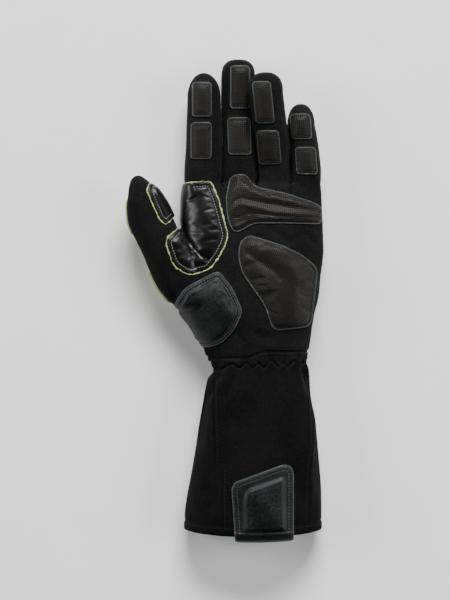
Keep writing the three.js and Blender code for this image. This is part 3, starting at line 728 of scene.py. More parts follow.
def store_cloth_map(piece, flat, count):
    """Where each point lies on the flat cut leather, in millimetres, for the punched holes."""
    layer = piece.data.uv_layers.new(name="flat")
    loops = np.empty(len(piece.data.loops), int)
    piece.data.loops.foreach_get("vertex_index", loops)
    layer.data.foreach_set("uv", flat[loops % count].astype(np.float32).ravel())


def flattened(places, flat, quads, rounds=400):
    """Flat coordinates where each grid edge has its real length, found by conjugate gradients."""
    a, b = quads[:, [0, 1, 3, 0]].ravel(), quads[:, [1, 2, 2, 3]].ravel()
    want = np.zeros((len(a), 2))
    want[np.arange(len(a)),
         np.tile([0, 1, 0, 1], len(quads))] = np.linalg.norm(places[b] - places[a],
                                                                                axis=1)

    def gather(edges):
        return np.stack([np.bincount(b, edges[:, k], len(flat)) - np.bincount(a, edges[:, k],
                                                                              len(flat))
                         for k in (0, 1)], 1)

    out = flat.copy()
    rest = gather(want - (out[b] - out[a]))
    move = rest.copy()
    for _ in range(rounds):
        pushed = gather(move[b] - move[a])
        share = (rest**2).sum(0) / np.maximum((move * pushed).sum(0), 1e-12)
        out, fresh = out + share * move, rest - share * pushed
        move = fresh + (fresh**2).sum(0) / np.maximum((rest**2).sum(0), 1e-12) * move
        rest = fresh
    return out


def sewn_patch(name, outline, surface, thickness, step=0.8, angle=0.0, lift=0.12, edge=1.0,
               relief=None, place=None, sunk=0.5):
    """A patch on the skin. Relief gives extra height from plan points and their depth inside.

    The patch starts at lift above the skin, and its bottom is sunk below it.
    """
    plan, quads, depth, flat = plan_grid(outline, step, angle)
    places, normals = (place or surface.drop)(plan)
    height = lift + thickness * edge_profile(depth, edge)
    if relief is not None:
        height = height + relief(plan, depth)
    top = places + normals * height[:, None]
    piece = shell_mesh(name, top, places - normals * sunk, quads)
    store_cloth_map(piece, flattened(places, flat, quads), len(top))
    quads = [tuple(q) for q in quads]
    plan_tree = BVHTree.FromPolygons([(x, y, 0.0) for x, y in plan], quads)
    return {"piece": piece, "top": top, "normals": normals, "quads": quads, "plan": plan,
            "depth": depth, "outline": outline, "plan_tree": plan_tree}


def on_patch(patch, line, lift=0.0):
    """Points and normals on the top of a patch along a line drawn in its plan."""
    places, normals = [], []
    for x, y in line:
        spot, _, index, _ = patch["plan_tree"].find_nearest(Vector((x, y, 0)))
        corners = list(patch["quads"][index])
        weight = 1 / (((patch["plan"][corners] - [spot.x, spot.y]) ** 2).sum(1) + 1e-4)
        weight = weight / weight.sum()
        places.append((patch["top"][corners] * weight[:, None]).sum(0))
        normals.append((patch["normals"][corners] * weight[:, None]).sum(0))
    normals = np.array(normals)
    normals /= np.linalg.norm(normals, axis=1)[:, None]
    return np.array(places) + normals * lift, normals


print("edge profile at 0.2 mm:", edge_profile(np.array([0.2]), 1.0).round(2))

# %% Tubes and stitches


def tube(path, normals, radius, sides=8, closed=True, flatten=1.0):
    """Vertices and faces of a tube along a path. Radius may change from point to point."""
    ahead = np.roll(path, -1, axis=0) - np.roll(path, 1, axis=0)
    if not closed:
        ahead[0], ahead[-1] = path[1] - path[0], path[-1] - path[-2]
    ahead /= np.maximum(np.linalg.norm(ahead, axis=1), 1e-9)[:, None]
    up = normals - (normals * ahead).sum(1)[:, None] * ahead
    up /= np.maximum(np.linalg.norm(up, axis=1), 1e-9)[:, None]
    across = np.cross(ahead, up)
    angle = np.linspace(0, 2 * np.pi, sides, endpoint=False)
    radius = np.broadcast_to(radius, len(path))[:, None, None]
    ring = (np.cos(angle)[None, :, None] * across[:, None]
            + flatten * np.sin(angle)[None, :, None] * up[:, None])
    verts = (path[:, None] + radius * ring).reshape(-1, 3)
    faces = []
    last = len(path) if closed else len(path) - 1
    for i in range(last):
        a, b = i * sides, ((i + 1) % len(path)) * sides
        faces += [(a + k, a + (k + 1) % sides, b + (k + 1) % sides, b + k) for k in range(sides)]
    if not closed:
        faces += [tuple(reversed(range(sides))),
                  tuple((len(path) - 1) * sides + k for k in range(sides))]
    return verts, faces


def capsules(path, normals, pitch, length, radius):
    """Stitches along a path: short rounded threads, a pitch apart, that dip at both ends."""
    run = np.concatenate([[0], np.cumsum(np.linalg.norm(np.diff(path, axis=0), axis=1))])
    count = max(int(run[-1] / pitch), 1)
    share = np.array([-0.5, -0.36, 0.0, 0.36, 0.5])
    swell, dip = np.array([0.35, 0.9, 1.0, 0.9, 0.35]), np.array([-0.9, -0.2, 0.25, -0.2, -0.9])
    verts, faces = [], []
    for k in range(count):
        middle = (k + 0.5) * run[-1] / count
        at = middle + share * length
        spots = np.stack([np.interp(at, run, path[:, j]) for j in range(3)], 1)
        ups = np.stack([np.interp(at, run, normals[:, j]) for j in range(3)], 1)
        v, f = tube(spots + ups * (dip * radius)[:, None], ups, swell * radius, sides=6,
                    closed=False)
        faces += [tuple(i + len(verts) for i in face) for face in f]
        verts += list(v)
    return verts, faces


class Bundle:
    """Many small meshes that become one piece."""

    def __init__(self):
        self.verts, self.faces = [], []

    def add(self, made):
        start = len(self.verts)
        self.verts += list(made[0])
        self.faces += [tuple(i + start for i in f) for f in made[1]]

    def piece(self, name):
        return link(name, to_metres(np.array(self.verts)), self.faces)


one_stitch = capsules(np.array([[0, 0, 0], [2.4, 0, 0.0]]), np.array([[0, 0, 1.0]] * 2), 2.4, 1.6,
                      0.2)
print("one stitch has", len(one_stitch[1]), "faces")

# %% [markdown]
# ## Wrist and cuff
# The wrist is drawn in by hidden elastic, so its knit puckers into small upright folds. The cuff
# starts under a row of pointed pleats and flares towards its hem. Both are tubes of sections, and
# the folds are pushed out of the sections along their own normals.

# %% Cuff sections as one table of rings
cuff_count = 300
ring_y = np.linspace(6.5, hem_y - 4, 260)
cuff_rows = smooth_rows(cuff_sections, ring_y / hem_y)
cuff_rings = np.array([section(cuff_centre + shift * hem_width, y, split_height,
                               (wrist_width + (hem_width - wrist_width) * flare) / 2,
                               top * cuff_thickness - split_height,
                               split_height - bottom * cuff_thickness, (2.4, 2.3, 3.0),
                               cuff_count) for y,
                       (flare, shift, bottom, top) in zip(ring_y, cuff_rows)])
ahead = np.roll(cuff_rings, -1, axis=1) - np.roll(cuff_rings, 1, axis=1)
cuff_normals = np.stack([ahead[..., 2], np.zeros(ahead.shape[:2]), -ahead[..., 0]], -1)
cuff_normals /= np.linalg.norm(cuff_normals, axis=2)[..., None]


def cuff_spots(y):
    """Points and outward normals of the plain cuff, for an array of heights in each column."""
    spot = np.clip((ring_y[0] - np.asarray(y, float)) / (ring_y[0] - ring_y[-1])
                   * (len(ring_y) - 1),
                   0, len(ring_y) - 1.001)
    i = spot.astype(int)
    f = (spot - i)[..., None]
    k = np.broadcast_to(np.arange(cuff_count), spot.shape)
    places = cuff_rings[i, k] * (1 - f) + cuff_rings[i + 1, k] * f
    normals = cuff_normals[i, k] * (1 - f) + cuff_normals[i + 1, k] * f
    return places, normals


def all_round(heights):
    """The same height in each column of the cuff, for a list of heights."""
    return np.asarray(heights, float)[:, None] * np.ones(cuff_count)[None]


print("wrist width in the rings, mm:",
      np.ptp(cuff_rings[np.abs(ring_y + 9).argmin(), :, 0]).round(1))

# %% The pleats' zigzag line and their folds
pleat_pixels = [(205, 366), (209, 363.0), (214.5, 370.7), (221, 370.5), (231.4, 364.4),
                (239.3, 369.4), (246.4, 363.6), (252.1, 369.4), (258.6, 363.9), (263.6, 369.6),
                (270.7, 360.7), (278.6, 368.6), (283.6, 363.0), (287.9, 367.9), (294.3, 361.6),
                (300, 367.6), (303.6, 363.2), (307.5, 369), (311, 365)]
pleat_line = photo_line(*pleat_pixels)
tip_x = pleat_line[1::2, 0]


def zigzag(x):
    return np.interp(x, pleat_line[:, 0], pleat_line[:, 1])


def pleat_phase(x):
    """1 on the crest of a pleat and -1 in the fold between two."""
    y = zigzag(x)
    return np.clip((y + 8.7) / 2.2, -1, 1)


def cuff_relief(places, below):
    """Pleats that fade down the cuff, broad soft folds, and the two seams of its front panel."""
    x, z = places[..., 0], places[..., 2]
    flat = places.reshape(-1, 3)
    spread = 1 + 0.010 * below
    crest = pleat_phase(cuff_centre + (x - cuff_centre) / spread)
    lift = (0.2 + 1.7 * np.exp(-below / 9.0)) * crest * np.exp(-below / 16.0)
    slow = uneven(flat * np.array([1.0, 0.35, 1.0]), 0.055, 21.7).reshape(x.shape)
    fine = uneven(flat * np.array([1.0, 0.4, 1.0]), 0.14, 5.2).reshape(x.shape)
    lift = lift + (0.85 + 0.35 * np.exp(-below / 30.0)) * slow + 0.28 * fine
    for line, depth, width in cuff_folds:
        gap, _, share = (a.reshape(x.shape) for a in line_gap(flat, line))
        ends = smooth_step(share, 0, 0.22) * (1 - smooth_step(share, 0.7, 1.0))
        lift = lift - (z > split_height) * ends * 1.8 * depth * hump(gap, width)
    for line in cuff_seams:
        gap = line_gap(flat, line)[0].reshape(x.shape)
        lift = lift - (z > split_height) * (0.8 * hump(gap, 0.6)
                                            - 0.3 * np.exp(-((gap - 1.6) ** 2) / 0.9))
    return lift


cuff_seams = [photo_line((213.8, 370), (215.2, 410), (216.4, 462), (217.4, 464.8), (222.4, 466.5),
                         (222.9, 470), (222.9, 525)),
              photo_line((308.2, 371), (310.4, 420), (310.7, 443), (308, 462), (307, 472),
                         (307, 526))]
cuff_folds = [(photo_line((221, 371), (213, 385), (207, 405)), 1.1, 2.6),
              (photo_line((236, 372), (229, 388), (224, 402)), 0.7, 2.4),
              (photo_line((302, 369), (306, 384), (309, 396)), 0.8, 2.2),
              (photo_line((206, 388), (203, 420), (200, 455)), 0.9, 3.4),
              (photo_line((205, 480), (214, 497), (209, 512)), 0.7, 4.0),
              (photo_line((315, 430), (316, 470), (318, 505)), 0.6, 3.0),
              (photo_line((262, 372), (259, 388), (259, 402)), 0.5, 2.2),
              (photo_line((283, 371), (287, 388), (289, 400)), 0.45, 2.4)]
print("pleats across the palm side:", len(tip_x))

# %% Build a wall of cloth from two sheets


def wall_piece(name, outer, inner):
    """A closed tube wall from an outer and an inner sheet of rings, each rows x columns x 3."""
    rows, count = outer.shape[:2]
    inner_rows = inner.shape[0]
    verts = np.concatenate([outer.reshape(-1, 3), inner.reshape(-1, 3)])
    faces, start = [], rows * count
    for i in range(rows - 1):
        faces += [(i * count + k, i * count + (k + 1) % count, (i + 1) * count + (k + 1) % count,
                   (i + 1) * count + k) for k in range(count)]
    for i in range(inner_rows - 1):
        a, b = start + i * count, start + (i + 1) * count
        faces += [(a + (k + 1) % count, a + k, b + k, b + (k + 1) % count) for k in range(count)]
    last, inner_last = (rows - 1) * count, start + (inner_rows - 1) * count
    faces += [(start + (k + 1) % count, (k + 1) % count, k, start + k) for k in range(count)]
    faces += [(last + (k + 1) % count, inner_last + (k + 1) % count, inner_last + k, last + k)
              for k in range(count)]
    return link(name, to_metres(verts), [f[::-1] for f in faces])


x_at = cuff_rings[np.abs(ring_y + 9).argmin(), :, 0]
top_line = zigzag(x_at)
share = np.linspace(0, 1, 120) ** 1.25
cuff_y = top_line[None, :] * (1 - share[:, None]) + (hem_y + 0.8) * share[:, None]
places, normals = cuff_spots(cuff_y)
below = top_line[None, :] - cuff_y
edge_round = 1.15 * np.sqrt(np.clip(below / 0.9, 0, 1))
cuff_lift = 0.1 + edge_round + cuff_relief(places, below) - 0.5 * hump(cuff_y + 114.7, 0.7)
cuff_outer = places + normals * cuff_lift[..., None]
cuff_outer[..., 2] = np.maximum(cuff_outer[..., 2], 0.0)
places, normals = cuff_spots(all_round(np.linspace(-13.0, hem_y + 0.8, 40)))
places[0], _ = cuff_spots(top_line)
cuff_inner = places - normals * np.where(np.arange(40) == 0, 0.1, 1.9)[:, None, None]
cuff = wall_piece("cuff_cloth", cuff_outer, cuff_inner)
print("cuff faces:", len(cuff.data.polygons))

# %% The gathered wrist


def wrist_spots(y):
    """Points and normals that pass from the hand's own outline to the cuff's below the seam."""
    places, normals = cuff_spots(y)
    hand = smooth_rows(hand_sections, np.clip(y[:, 0] / palm_length, -0.06, 1.0))
    rings = np.array([hand_section(height, row, cuff_count, dented=False) for height,
                      row in zip(y[:, 0], hand)])
    share = (1 - smooth_step(seam_y(places[..., 0]) - y, 0.5, 12.0))[..., None]
    return places * (1 - share) + rings * share, normals


places, normals = wrist_spots(all_round(np.linspace(5.0, -13.0, 44)))
x, y = places[..., 0], places[..., 1]
seam = seam_y(x)
zone = smooth_step(seam - y, 0, 3.0) * (1 - smooth_step(seam - y, 8.0, 13.0))
phase = pleat_phase(x)
flat = places.reshape(-1, 3)
bulge = uneven(flat * np.array([1.0, 0.5, 1.0]), 0.13, 40.0).reshape(x.shape)
small = uneven(flat * np.array([1.0, 0.45, 1.0]), 0.33, 12.0).reshape(x.shape)
wrist_lift = -0.2 - 0.9 * hump(seam - y - 0.4, 0.9) + zone * (1.0 * bulge + 0.55 * small
                                                              - 0.45 * phase)
wrist_lift = wrist_lift - 1.1 * hump(y - zigzag(x) - 0.9, 1.0)
wrist_lift = np.where(y > seam, -1.2, wrist_lift)
wrist_outer = places + normals * wrist_lift[..., None]
wrist_outer[..., 2] = np.maximum(wrist_outer[..., 2], 0.0)
places, normals = wrist_spots(all_round(np.linspace(5.0, -13.0, 12)))
wrist = wall_piece("wrist_gathers", wrist_outer, places - normals * 1.8)
print("wrist faces:", len(wrist.data.polygons))

# %% [markdown]
# The hem is a folded band with a row of stitches at its upper edge. It is slightly thicker than
# the cuff, so its edge stands up, and it closes over the cuff's two layers at the mouth.

# %% Hem band
turn = np.concatenate([np.linspace(0, 1, 16), np.linspace(1, 2, 12)[1:], np.linspace(2, 3, 8)[1:]])
band_y, band_lift = [], []
for t in turn:
    if t <= 1:
        band_y.append(-115.5 - 5.2 * t)
        band_lift.append(1.5 + 0.2 * math.sin(math.pi * t) - 1.3 * max(0, 1 - t / 0.12) ** 2)
    elif t <= 2:
        a = (t - 1) * math.pi
        band_y.append(-120.7 - 0.9 * math.sin(a))
        band_lift.append(1.5 - 1.79 * (1 - math.cos(a)))
    else:
        band_y.append(-120.7 + 5.0 * (t - 2))
        band_lift.append(-2.08)
band_y = all_round(band_y)
places, normals = cuff_spots(band_y)
lift = all_round(band_lift)
side = cuff_relief(places, top_line[None, :] - np.maximum(band_y, hem_y + 1))
lift = lift + side * np.where(lift > -1.0, 1.0, 0.3)
lift = lift + 0.10 * uneven(places.reshape(-1, 3), 0.45, 17.0).reshape(lift.shape) * (lift > -1)
stitch_row_y = -116.7
lift = lift - 0.28 * hump(band_y - stitch_row_y, 0.45) * (lift > -1)
hem_sheet = places + normals * lift[..., None]
hem_sheet[..., 2] = np.maximum(hem_sheet[..., 2], 0.0)
loop_rows = hem_sheet.shape[0]
faces = []
for i in range(loop_rows):
    a, b = i * cuff_count, ((i + 1) % loop_rows) * cuff_count
    faces += [(a + k, b + k, b + (k + 1) % cuff_count, a + (k + 1) % cuff_count)
              for k in range(cuff_count)]
hem = link("cuff_hem_band", to_metres(hem_sheet.reshape(-1, 3)), faces)


def surface_of(verts, faces):
    """A search surface with the true smooth normals of a sheet."""
    mesh = bpy.data.meshes.new("sheet")
    mesh.from_pydata([tuple(v) for v in verts], [], faces)
    mesh.update()
    out = np.empty(len(verts) * 3)
    mesh.vertices.foreach_get("normal", out)
    bpy.data.meshes.remove(mesh)
    return Surface(np.asarray(verts), faces, out.reshape(-1, 3))


def ring_quads(rows, start=0):
    return [(start + i * cuff_count + k, start + i * cuff_count + (k + 1) % cuff_count,
             start + (i + 1) * cuff_count + (k + 1) % cuff_count, start + (i + 1) * cuff_count + k)
            for i in rows for k in range(cuff_count)]


cuff_surface = surface_of(np.concatenate([cuff_outer.reshape(-1, 3),
                                          hem_sheet[:20].reshape(-1, 3)]),
                          ring_quads(range(119)) + ring_quads(range(19), 120 * cuff_count))
print("hem faces:", len(hem.data.polygons))

# %% [markdown]
# ## Grip pads
# Two pads of perforated leather sit on each finger, a strap crosses the knuckles, and a larger
# pad lies under the little finger. They are thin over a soft layer, so they bulge a little
# between their stitches. The strap keeps three wavy ridges and the heel pad a few soft folds.

# %% Pads on the fingers
finger_pads = {  # from, to along the finger, and left, right in half widths
    "index": [(0.605, 0.905, -0.64, 0.42), (0.23, 0.55, -0.72, 0.42)],
    "middle": [(0.605, 0.94, -0.44, 0.66), (0.24, 0.53, -0.62, 0.66)],
    "ring": [(0.545, 0.905, -0.76, 0.26), (0.185, 0.475, -0.80, 0.42)],
    "little": [(0.56, 0.86, -0.72, 0.55), (0.13, 0.455, -0.58, 0.72)],
}


def pad_outline(name, pad):
    start, end, left, right = pad
    width, length = fingers[name][2], fingers[name][1]
    x, y, *_ = finger_centre(name, [start, end])
    corners = [(x[0] + left * width / 2, y[0]), (x[0] + right * width / 2, y[0]),
               (x[1] + right * width / 2, y[1]), (x[1] + left * width / 2, y[1])]
    return rounded(corners, 2.6, 0.5)


def pad_bulge(plan, depth):
    return 0.55 * smooth_step(depth, 0.8, 5.0) - 0.22 * hump(depth - 1.9, 0.55)


pads = {}
for name, rows in finger_pads.items():
    for label, pad in zip(("tip", "lower"), rows):
        x, y, *_ = finger_centre(name, [pad[0], pad[1]])
        lean = -math.atan2(x[1] - x[0], y[1] - y[0])
        pads[f"{name}_{label}_grip"] = sewn_patch(
            f"{name}_{label}_pad", pad_outline(name, pad), finger_surfaces[name], 0.95, step=0.62,
            angle=lean, relief=pad_bulge, edge=0.8)
print("finger pads:", len(pads))

# %% [markdown]
# The strap and the heel pad are thick and soft. Their folds are drawn first. Then their tops are
# settled as cloth, held along the seam and pushed up by their filling, which rounds the folds as
# real leather would. The web leather and the root pad are settled in the same way.

# %% The knuckle strap and the heel pad


def palm_points(*shares):
    return [(across * palm_width, along * palm_length) for across, along in shares]


strap_outline = rounded(palm_points((-0.158, 1.05), (-0.055, 1.065), (0.005, 0.985), (0.235, 0.945),
                                    (0.480, 0.878), (0.484, 0.768), (0.01, 0.772), (-0.13, 0.710),
                                    (-0.178, 0.785), (-0.191, 0.92)), 4.0)
heel_outline = rounded(palm_points((-0.030, 0.700), (0.20, 0.640), (0.345, 0.582), (0.448, 0.510),
                                   (0.446, 0.44), (0.403, 0.165), (0.140, 0.140), (0.085, 0.285),
                                   (-0.080, 0.482), (-0.106, 0.582), (-0.090, 0.665)), 5.0)
strap_ridges = [(photo_line((236, 180), (247, 189), (267, 198.6), (296, 204.3), (324, 209)), 0.95,
                 2.0),
                (photo_line((229, 212.5), (241.4, 205.4), (255.7, 208.6), (274.3, 213.6),
                            (324, 215)), 1.0, 1.9),
                (photo_line((229, 231), (247, 221.8), (267, 219.6), (324, 221.6)), 0.75, 1.7),
                (photo_line((238, 176), (236, 190), (231, 204)), 0.5, 2.6)]
strap_grooves = [(photo_line((232, 203), (242, 199), (262, 203.5), (296, 209.5), (324, 212)), 0.75,
                  1.5),
                 (photo_line((230, 221), (247, 215), (267, 215.6), (296, 219), (324, 219)), 0.65,
                  1.5)]
heel_ridges = [(photo_line((240, 258), (250, 264), (262, 276), (268, 296)), 0.85, 4.2),
               (photo_line((252, 247), (272, 256), (290, 270), (301, 283)), 0.8, 4.6),
               (photo_line((292, 262), (296, 290), (292, 322)), 0.7, 4.5)]
heel_grooves = [(photo_line((244, 250), (258, 262), (275, 272), (282, 282)), 0.85, 2.6),
                (photo_line((276, 300), (282, 316), (283, 328)), 0.5, 3.4)]


def line_relief(plan, ridges, grooves):
    lift = np.zeros(len(plan))
    for lines, sign in ((ridges, 1), (grooves, -1)):
        for line, height, width in lines:
            gap, _, share = line_gap(plan, line)
            ends = smooth_step(share, -0.05, 0.12) * (1 - smooth_step(share, 0.88, 1.05))
            lift = lift + sign * height * ends * hump(gap, width)
    return lift


def strap_relief(plan, depth):
    soft = 0.35 + line_relief(plan, strap_ridges, strap_grooves)
    return smooth_step(depth, 0.6, 3.0) * soft - 0.2 * hump(depth - 2.0, 0.55)


def heel_relief(plan, depth):
    soft = 0.7 + line_relief(plan, heel_ridges, heel_grooves)
    return smooth_step(depth, 0.8, 5.0) * soft - 0.2 * hump(depth - 2.0, 0.55)


pads["knuckle_grip"] = sewn_patch("knuckle_strap", strap_outline, skin_surface, 0.95,
                                  relief=strap_relief, angle=-0.10)
pads["heel_grip"] = sewn_patch("heel_pad", heel_outline, skin_surface, 0.95, relief=heel_relief,
                               angle=-0.35)
print("strap and heel pad quads:", len(pads["knuckle_grip"]["quads"]),
      len(pads["heel_grip"]["quads"]))

# %% Settle a padded leather as cloth


def settle_as_cloth(patch, held, pressure, slack, reach):
    """Inflate the top of a patch as cloth pinned along its border, ten times life size."""
    scale, frames = 0.01, 18
    mesh = bpy.data.meshes.new("cloth_top")
    a, b, c = (patch["top"][[q[i] for q in patch["quads"]]] for i in (0, 1, 2))
    facing = (np.cross(b - a, c - b) * patch["normals"][[q[1] for q in patch["quads"]]]).sum()
    mesh.from_pydata([tuple(v) for v in patch["top"] * scale], [],
                     [q if facing > 0 else q[::-1] for q in patch["quads"]])
    sheet = bpy.data.objects.new("cloth_top", mesh)
    bpy.context.scene.collection.objects.link(sheet)
    pins = sheet.vertex_groups.new(name="held")
    pins.add([int(i) for i in np.flatnonzero(patch["depth"] < held)], 1.0, "ADD")
    cloth = sheet.modifiers.new("cloth", "CLOTH")
    cloth.settings.vertex_group_mass = "held"
    cloth.settings.quality = 5
    cloth.settings.mass = 0.4
    cloth.settings.tension_stiffness = cloth.settings.compression_stiffness = 25
    cloth.settings.bending_stiffness = 1.0
    cloth.settings.effector_weights.gravity = 0
    cloth.settings.shrink_min = -slack
    cloth.settings.use_pressure = True
    cloth.settings.uniform_pressure_force = pressure
    cloth.point_cache.frame_start, cloth.point_cache.frame_end = 1, frames
    for moment in range(1, frames + 1):
        bpy.context.scene.frame_set(moment)
    settled = sheet.evaluated_get(bpy.context.evaluated_depsgraph_get())
    out = np.empty(len(mesh.vertices) * 3)
    settled.data.vertices.foreach_get("co", out)
    shift = out.reshape(-1, 3) / scale - patch["top"]
    bpy.data.objects.remove(sheet)
    bpy.data.meshes.remove(mesh)
    bpy.context.scene.frame_set(1)
    up = (shift * patch["normals"]).sum(1)
    along = shift - up[:, None] * patch["normals"]
    along *= np.minimum(1, 0.4 / np.maximum(np.linalg.norm(along, axis=1), 1e-9))[:, None]
    patch["top"] = patch["top"] + np.clip(up, -0.5, reach)[:, None] * patch["normals"] + along
    co = coordinates(patch["piece"])
    co[:len(patch["top"])] = to_metres(patch["top"])
    set_coordinates(patch["piece"], co)
    return up.max()


print("knuckle strap rises, mm:",
      round(float(settle_as_cloth(pads["knuckle_grip"], 1.8, 1.2, 0.03, 0.9)), 2))
print("heel pad rises, mm:",
      round(float(settle_as_cloth(pads["heel_grip"], 1.8, 1.2, 0.03, 1.0)), 2))

# %% [markdown]
# ## Smooth leather in the web of the thumb
# The web leather is thin, shiny and a little too large for its seam, so it puckers. Its flat
# border is stitched down twice, and its raw edge shows lime where the dye stops. The piece on the
# thumb is a narrow strip of the same leather, folded over the thumb's inner side.

# %% The web leather and the strip on the thumb
web_outline = rounded(palm_points((-0.512, 1.005), (-0.30, 1.020), (-0.243, 0.900), (-0.178, 0.692),
                                  (-0.215, 0.612), (-0.300, 0.505), (-0.450, 0.464),
                                  (-0.560, 0.522), (-0.618, 0.668), (-0.535, 0.735),
                                  (-0.508, 0.80)), 4.0)
web_border = 3.6


def wraps_round(plan):
    """1 where the web leather passes over the side of the hand, with no border of its own."""
    beside = smooth_step(-0.40 * palm_width - plan[:, 0], 0, 5)
    return beside * smooth_step(plan[:, 1] / palm_length, 0.73, 0.80)


def web_relief(plan, depth):
    depth = depth + 8 * wraps_round(plan)
    inner = smooth_step(depth, web_border - 0.4, web_border + 1.0)
    seam_dip = -0.45 * hump(depth - web_border, 0.6)
    rise = 1.5 * (1 - np.exp(-np.maximum(depth - web_border, 0) / 4.5))
    flat3 = np.column_stack([plan, np.zeros(len(plan))])
    low_half = smooth_step(0.86 * palm_length - plan[:, 1], 0, 22)
    pucker = 0.30 * uneven(flat3 * [1.0, 0.8, 1], 0.10, 31.0)
    pucker = pucker + low_half * 0.55 * uneven(flat3 * [0.7, 1.3, 1], 0.2, 3.0)
    return inner * (rise + pucker) + seam_dip


hand_side = part_surface((closed[:, 0] > -0.53 * palm_width) & (closed[:, 1] > 0.76 * palm_length))


def web_place(plan):
    """The upper part of the web leather lies on the hand alone, so it keeps clear of the thumb."""
    places, normals = skin_surface.drop(plan)
    high = plan[:, 1] > 0.79 * palm_length
    places[high], normals[high] = hand_side.drop(plan[high])
    return places, normals


web = sewn_patch("web_leather_panel", web_outline, skin_surface, 0.8, relief=web_relief,
                 place=web_place)
print("web leather rises, mm:",
      round(float(settle_as_cloth(web, web_border + 0.6, 2.4, 0.010, 1.3)), 2))


def thumb_points(*shares):
    return thumb_to_palm([[a * thumb_width, b * thumb_length] for a, b in shares])


strip_outline = rounded(thumb_points((0.42, 0.90), (0.135, 0.885), (0.045, 0.85), (0.045, 0.60),
                                     (0.14, 0.545), (0.43, 0.60)), 2.4, 0.5)


def strip_relief(plan, depth):
    depth = depth + 6 * smooth_step(palm_to_thumb(plan)[:, 0] / thumb_width, 0.26, 0.36)
    return 0.9 * smooth_step(depth, 3.0, 5.0) - 0.4 * hump(depth - 3.0, 0.5)


strip = sewn_patch("thumb_leather_strip", strip_outline, thumb_surface, 0.8, step=0.62,
                   relief=strip_relief, angle=thumb_angle, edge=0.8, place=on_thumb)
print("web leather quads:", len(web["quads"]), "strip quads:", len(strip["quads"]))

# %% The grained pad over the root of the thumb
root_outline = rounded(palm_points((-0.244, 0.490), (-0.144, 0.382), (-0.076, 0.250),
                                   (-0.144, 0.135), (-0.226, 0.066), (-0.312, 0.044),
                                   (-0.420, 0.055), (-0.570, 0.220), (-0.555, 0.290),
                                   (-0.478, 0.390)), 4.0)


def root_relief(plan, depth):
    inner = smooth_step(depth, 3.4, 5.2)
    slow = 0.25 * uneven(np.column_stack([plan, np.zeros(len(plan))]), 0.07, 77.0)
    return inner * (1.15 + slow) - 0.3 * hump(depth - 3.2, 0.6) - 0.25 * hump(depth - 1.6, 0.4)


root_pad = sewn_patch("thumb_root_pad", root_outline, skin_surface, 1.3, relief=root_relief,
                      edge=1.3)
print("root pad rises, mm:", round(float(settle_as_cloth(root_pad, 3.8, 1.0, 0.008, 0.9)), 2))
print("root pad quads:", len(root_pad["quads"]))

# %% [markdown]
# ## The pull tab
# The tab is a leather pocket over the cuff's mouth. It has a stitched border and a padded middle
# with a bevel, and its lower end folds round the hem. The grid is cut in one flat length, and the
# part past the hem is rolled round the edge.

# %% Tab on the cuff, rolled round the hem
tab_top = -9 + (hem_y + 9) * 0.585
roll_start, roll_radius = hem_y + 0.9, 3.3
tab_end = roll_start - math.pi * roll_radius - 3.0


def down_tab(share):
    """Height at a share of the way from the tab's top to the hem."""
    return tab_top + (hem_y - tab_top) * share


tab_outline = rounded([(across * palm_width, y) for across, y in (
    (-0.118, tab_end), (-0.150, down_tab(0.34)), (-0.130, down_tab(0.25)), (0.212, tab_top),
    (0.262, down_tab(0.03)), (0.280, down_tab(0.12)), (0.280, tab_end))], 2.8)
tab_middle = rounded(photo_line((243.5, 525), (243.5, 492), (246.5, 486.0), (280.5, 474.5),
                                (283.6, 477), (284.3, 525)), 2.0)
bed_lift = 1.6  # the hem's own height above the cuff
bed_rows = 70
places, normals = cuff_spots(all_round(np.linspace(-50, hem_y + 0.1, bed_rows)))
tab_bed = surface_of((places + normals * bed_lift).reshape(-1, 3), ring_quads(range(bed_rows - 1)))


def tab_place(plan):
    flat = plan.copy()
    flat[:, 1] = np.maximum(flat[:, 1], roll_start)
    places, normals = tab_bed.drop(flat, beside=14)
    over = np.maximum(roll_start - plan[:, 1], 0)
    angle = np.minimum(over / roll_radius, math.pi)
    past = np.maximum(over - math.pi * roll_radius, 0)
    rolled = over > 0
    places[rolled, 1] = roll_start - roll_radius * np.sin(angle[rolled]) + past[rolled]
    places[rolled, 2] -= roll_radius * (1 - np.cos(angle[rolled]))
    normals[rolled, 0] = 0
    normals[rolled, 1], normals[rolled, 2] = -np.sin(angle[rolled]), np.cos(angle[rolled])
    return places, normals


def tab_relief(plan, depth):
    gap, _, _ = line_gap(plan, tab_middle, closed=True)
    within = np.where(inside(plan, tab_middle), gap, -gap)
    rise = 1.7 * smooth_step(within, -1.0, 3.0)
    frame_line = -0.22 * hump(within - 3.4, 0.7)
    hollow = 0.25 * smooth_step(within, 4.0, 11.0)
    ridge = 0.7 * hump(plan[:, 1] - (hem_y + 1.9), 0.7)
    return rise + frame_line + hollow + ridge - 0.25 * hump(depth - 1.6, 0.45)


tab = sewn_patch("pull_tab_leather", tab_outline, cuff_surface, 1.3, relief=tab_relief,
                 place=tab_place, edge=1.0, lift=0.3)
print("tab quads:", len(tab["quads"]), "top edge at y =", round(tab_top, 1))

# %% [markdown]
# ## Rims, raw edges and thread
# Each grip pad has a thin bluish rim where its edge is sealed. The web leather and the thumb strip
# show a ragged lime edge. Grey and dark threads run inside them. All of these follow the same
# outlines as the leather, so they stay on it.

# %% Rims round the grip pads and the grained leathers
rims, dark_thread, pale_thread, lime_thread = Bundle(), Bundle(), Bundle(), Bundle()


def rim_on(patch, radius, lift):
    places, normals = on_patch(patch, patch["outline"], lift)
    flat = np.column_stack([patch["outline"], np.zeros(len(places))])
    return tube(places, normals, radius * (1 + 0.25 * uneven(flat, 0.5, 61.0)), sides=8,
                flatten=0.8)


for pad in pads.values():
    rims.add(rim_on(pad, 0.33, 0.36))
rims.add(rim_on(root_pad, 0.38, 0.5))
rims.add(rim_on(tab, 0.36, 0.42))
print("rim faces:", len(rims.faces))

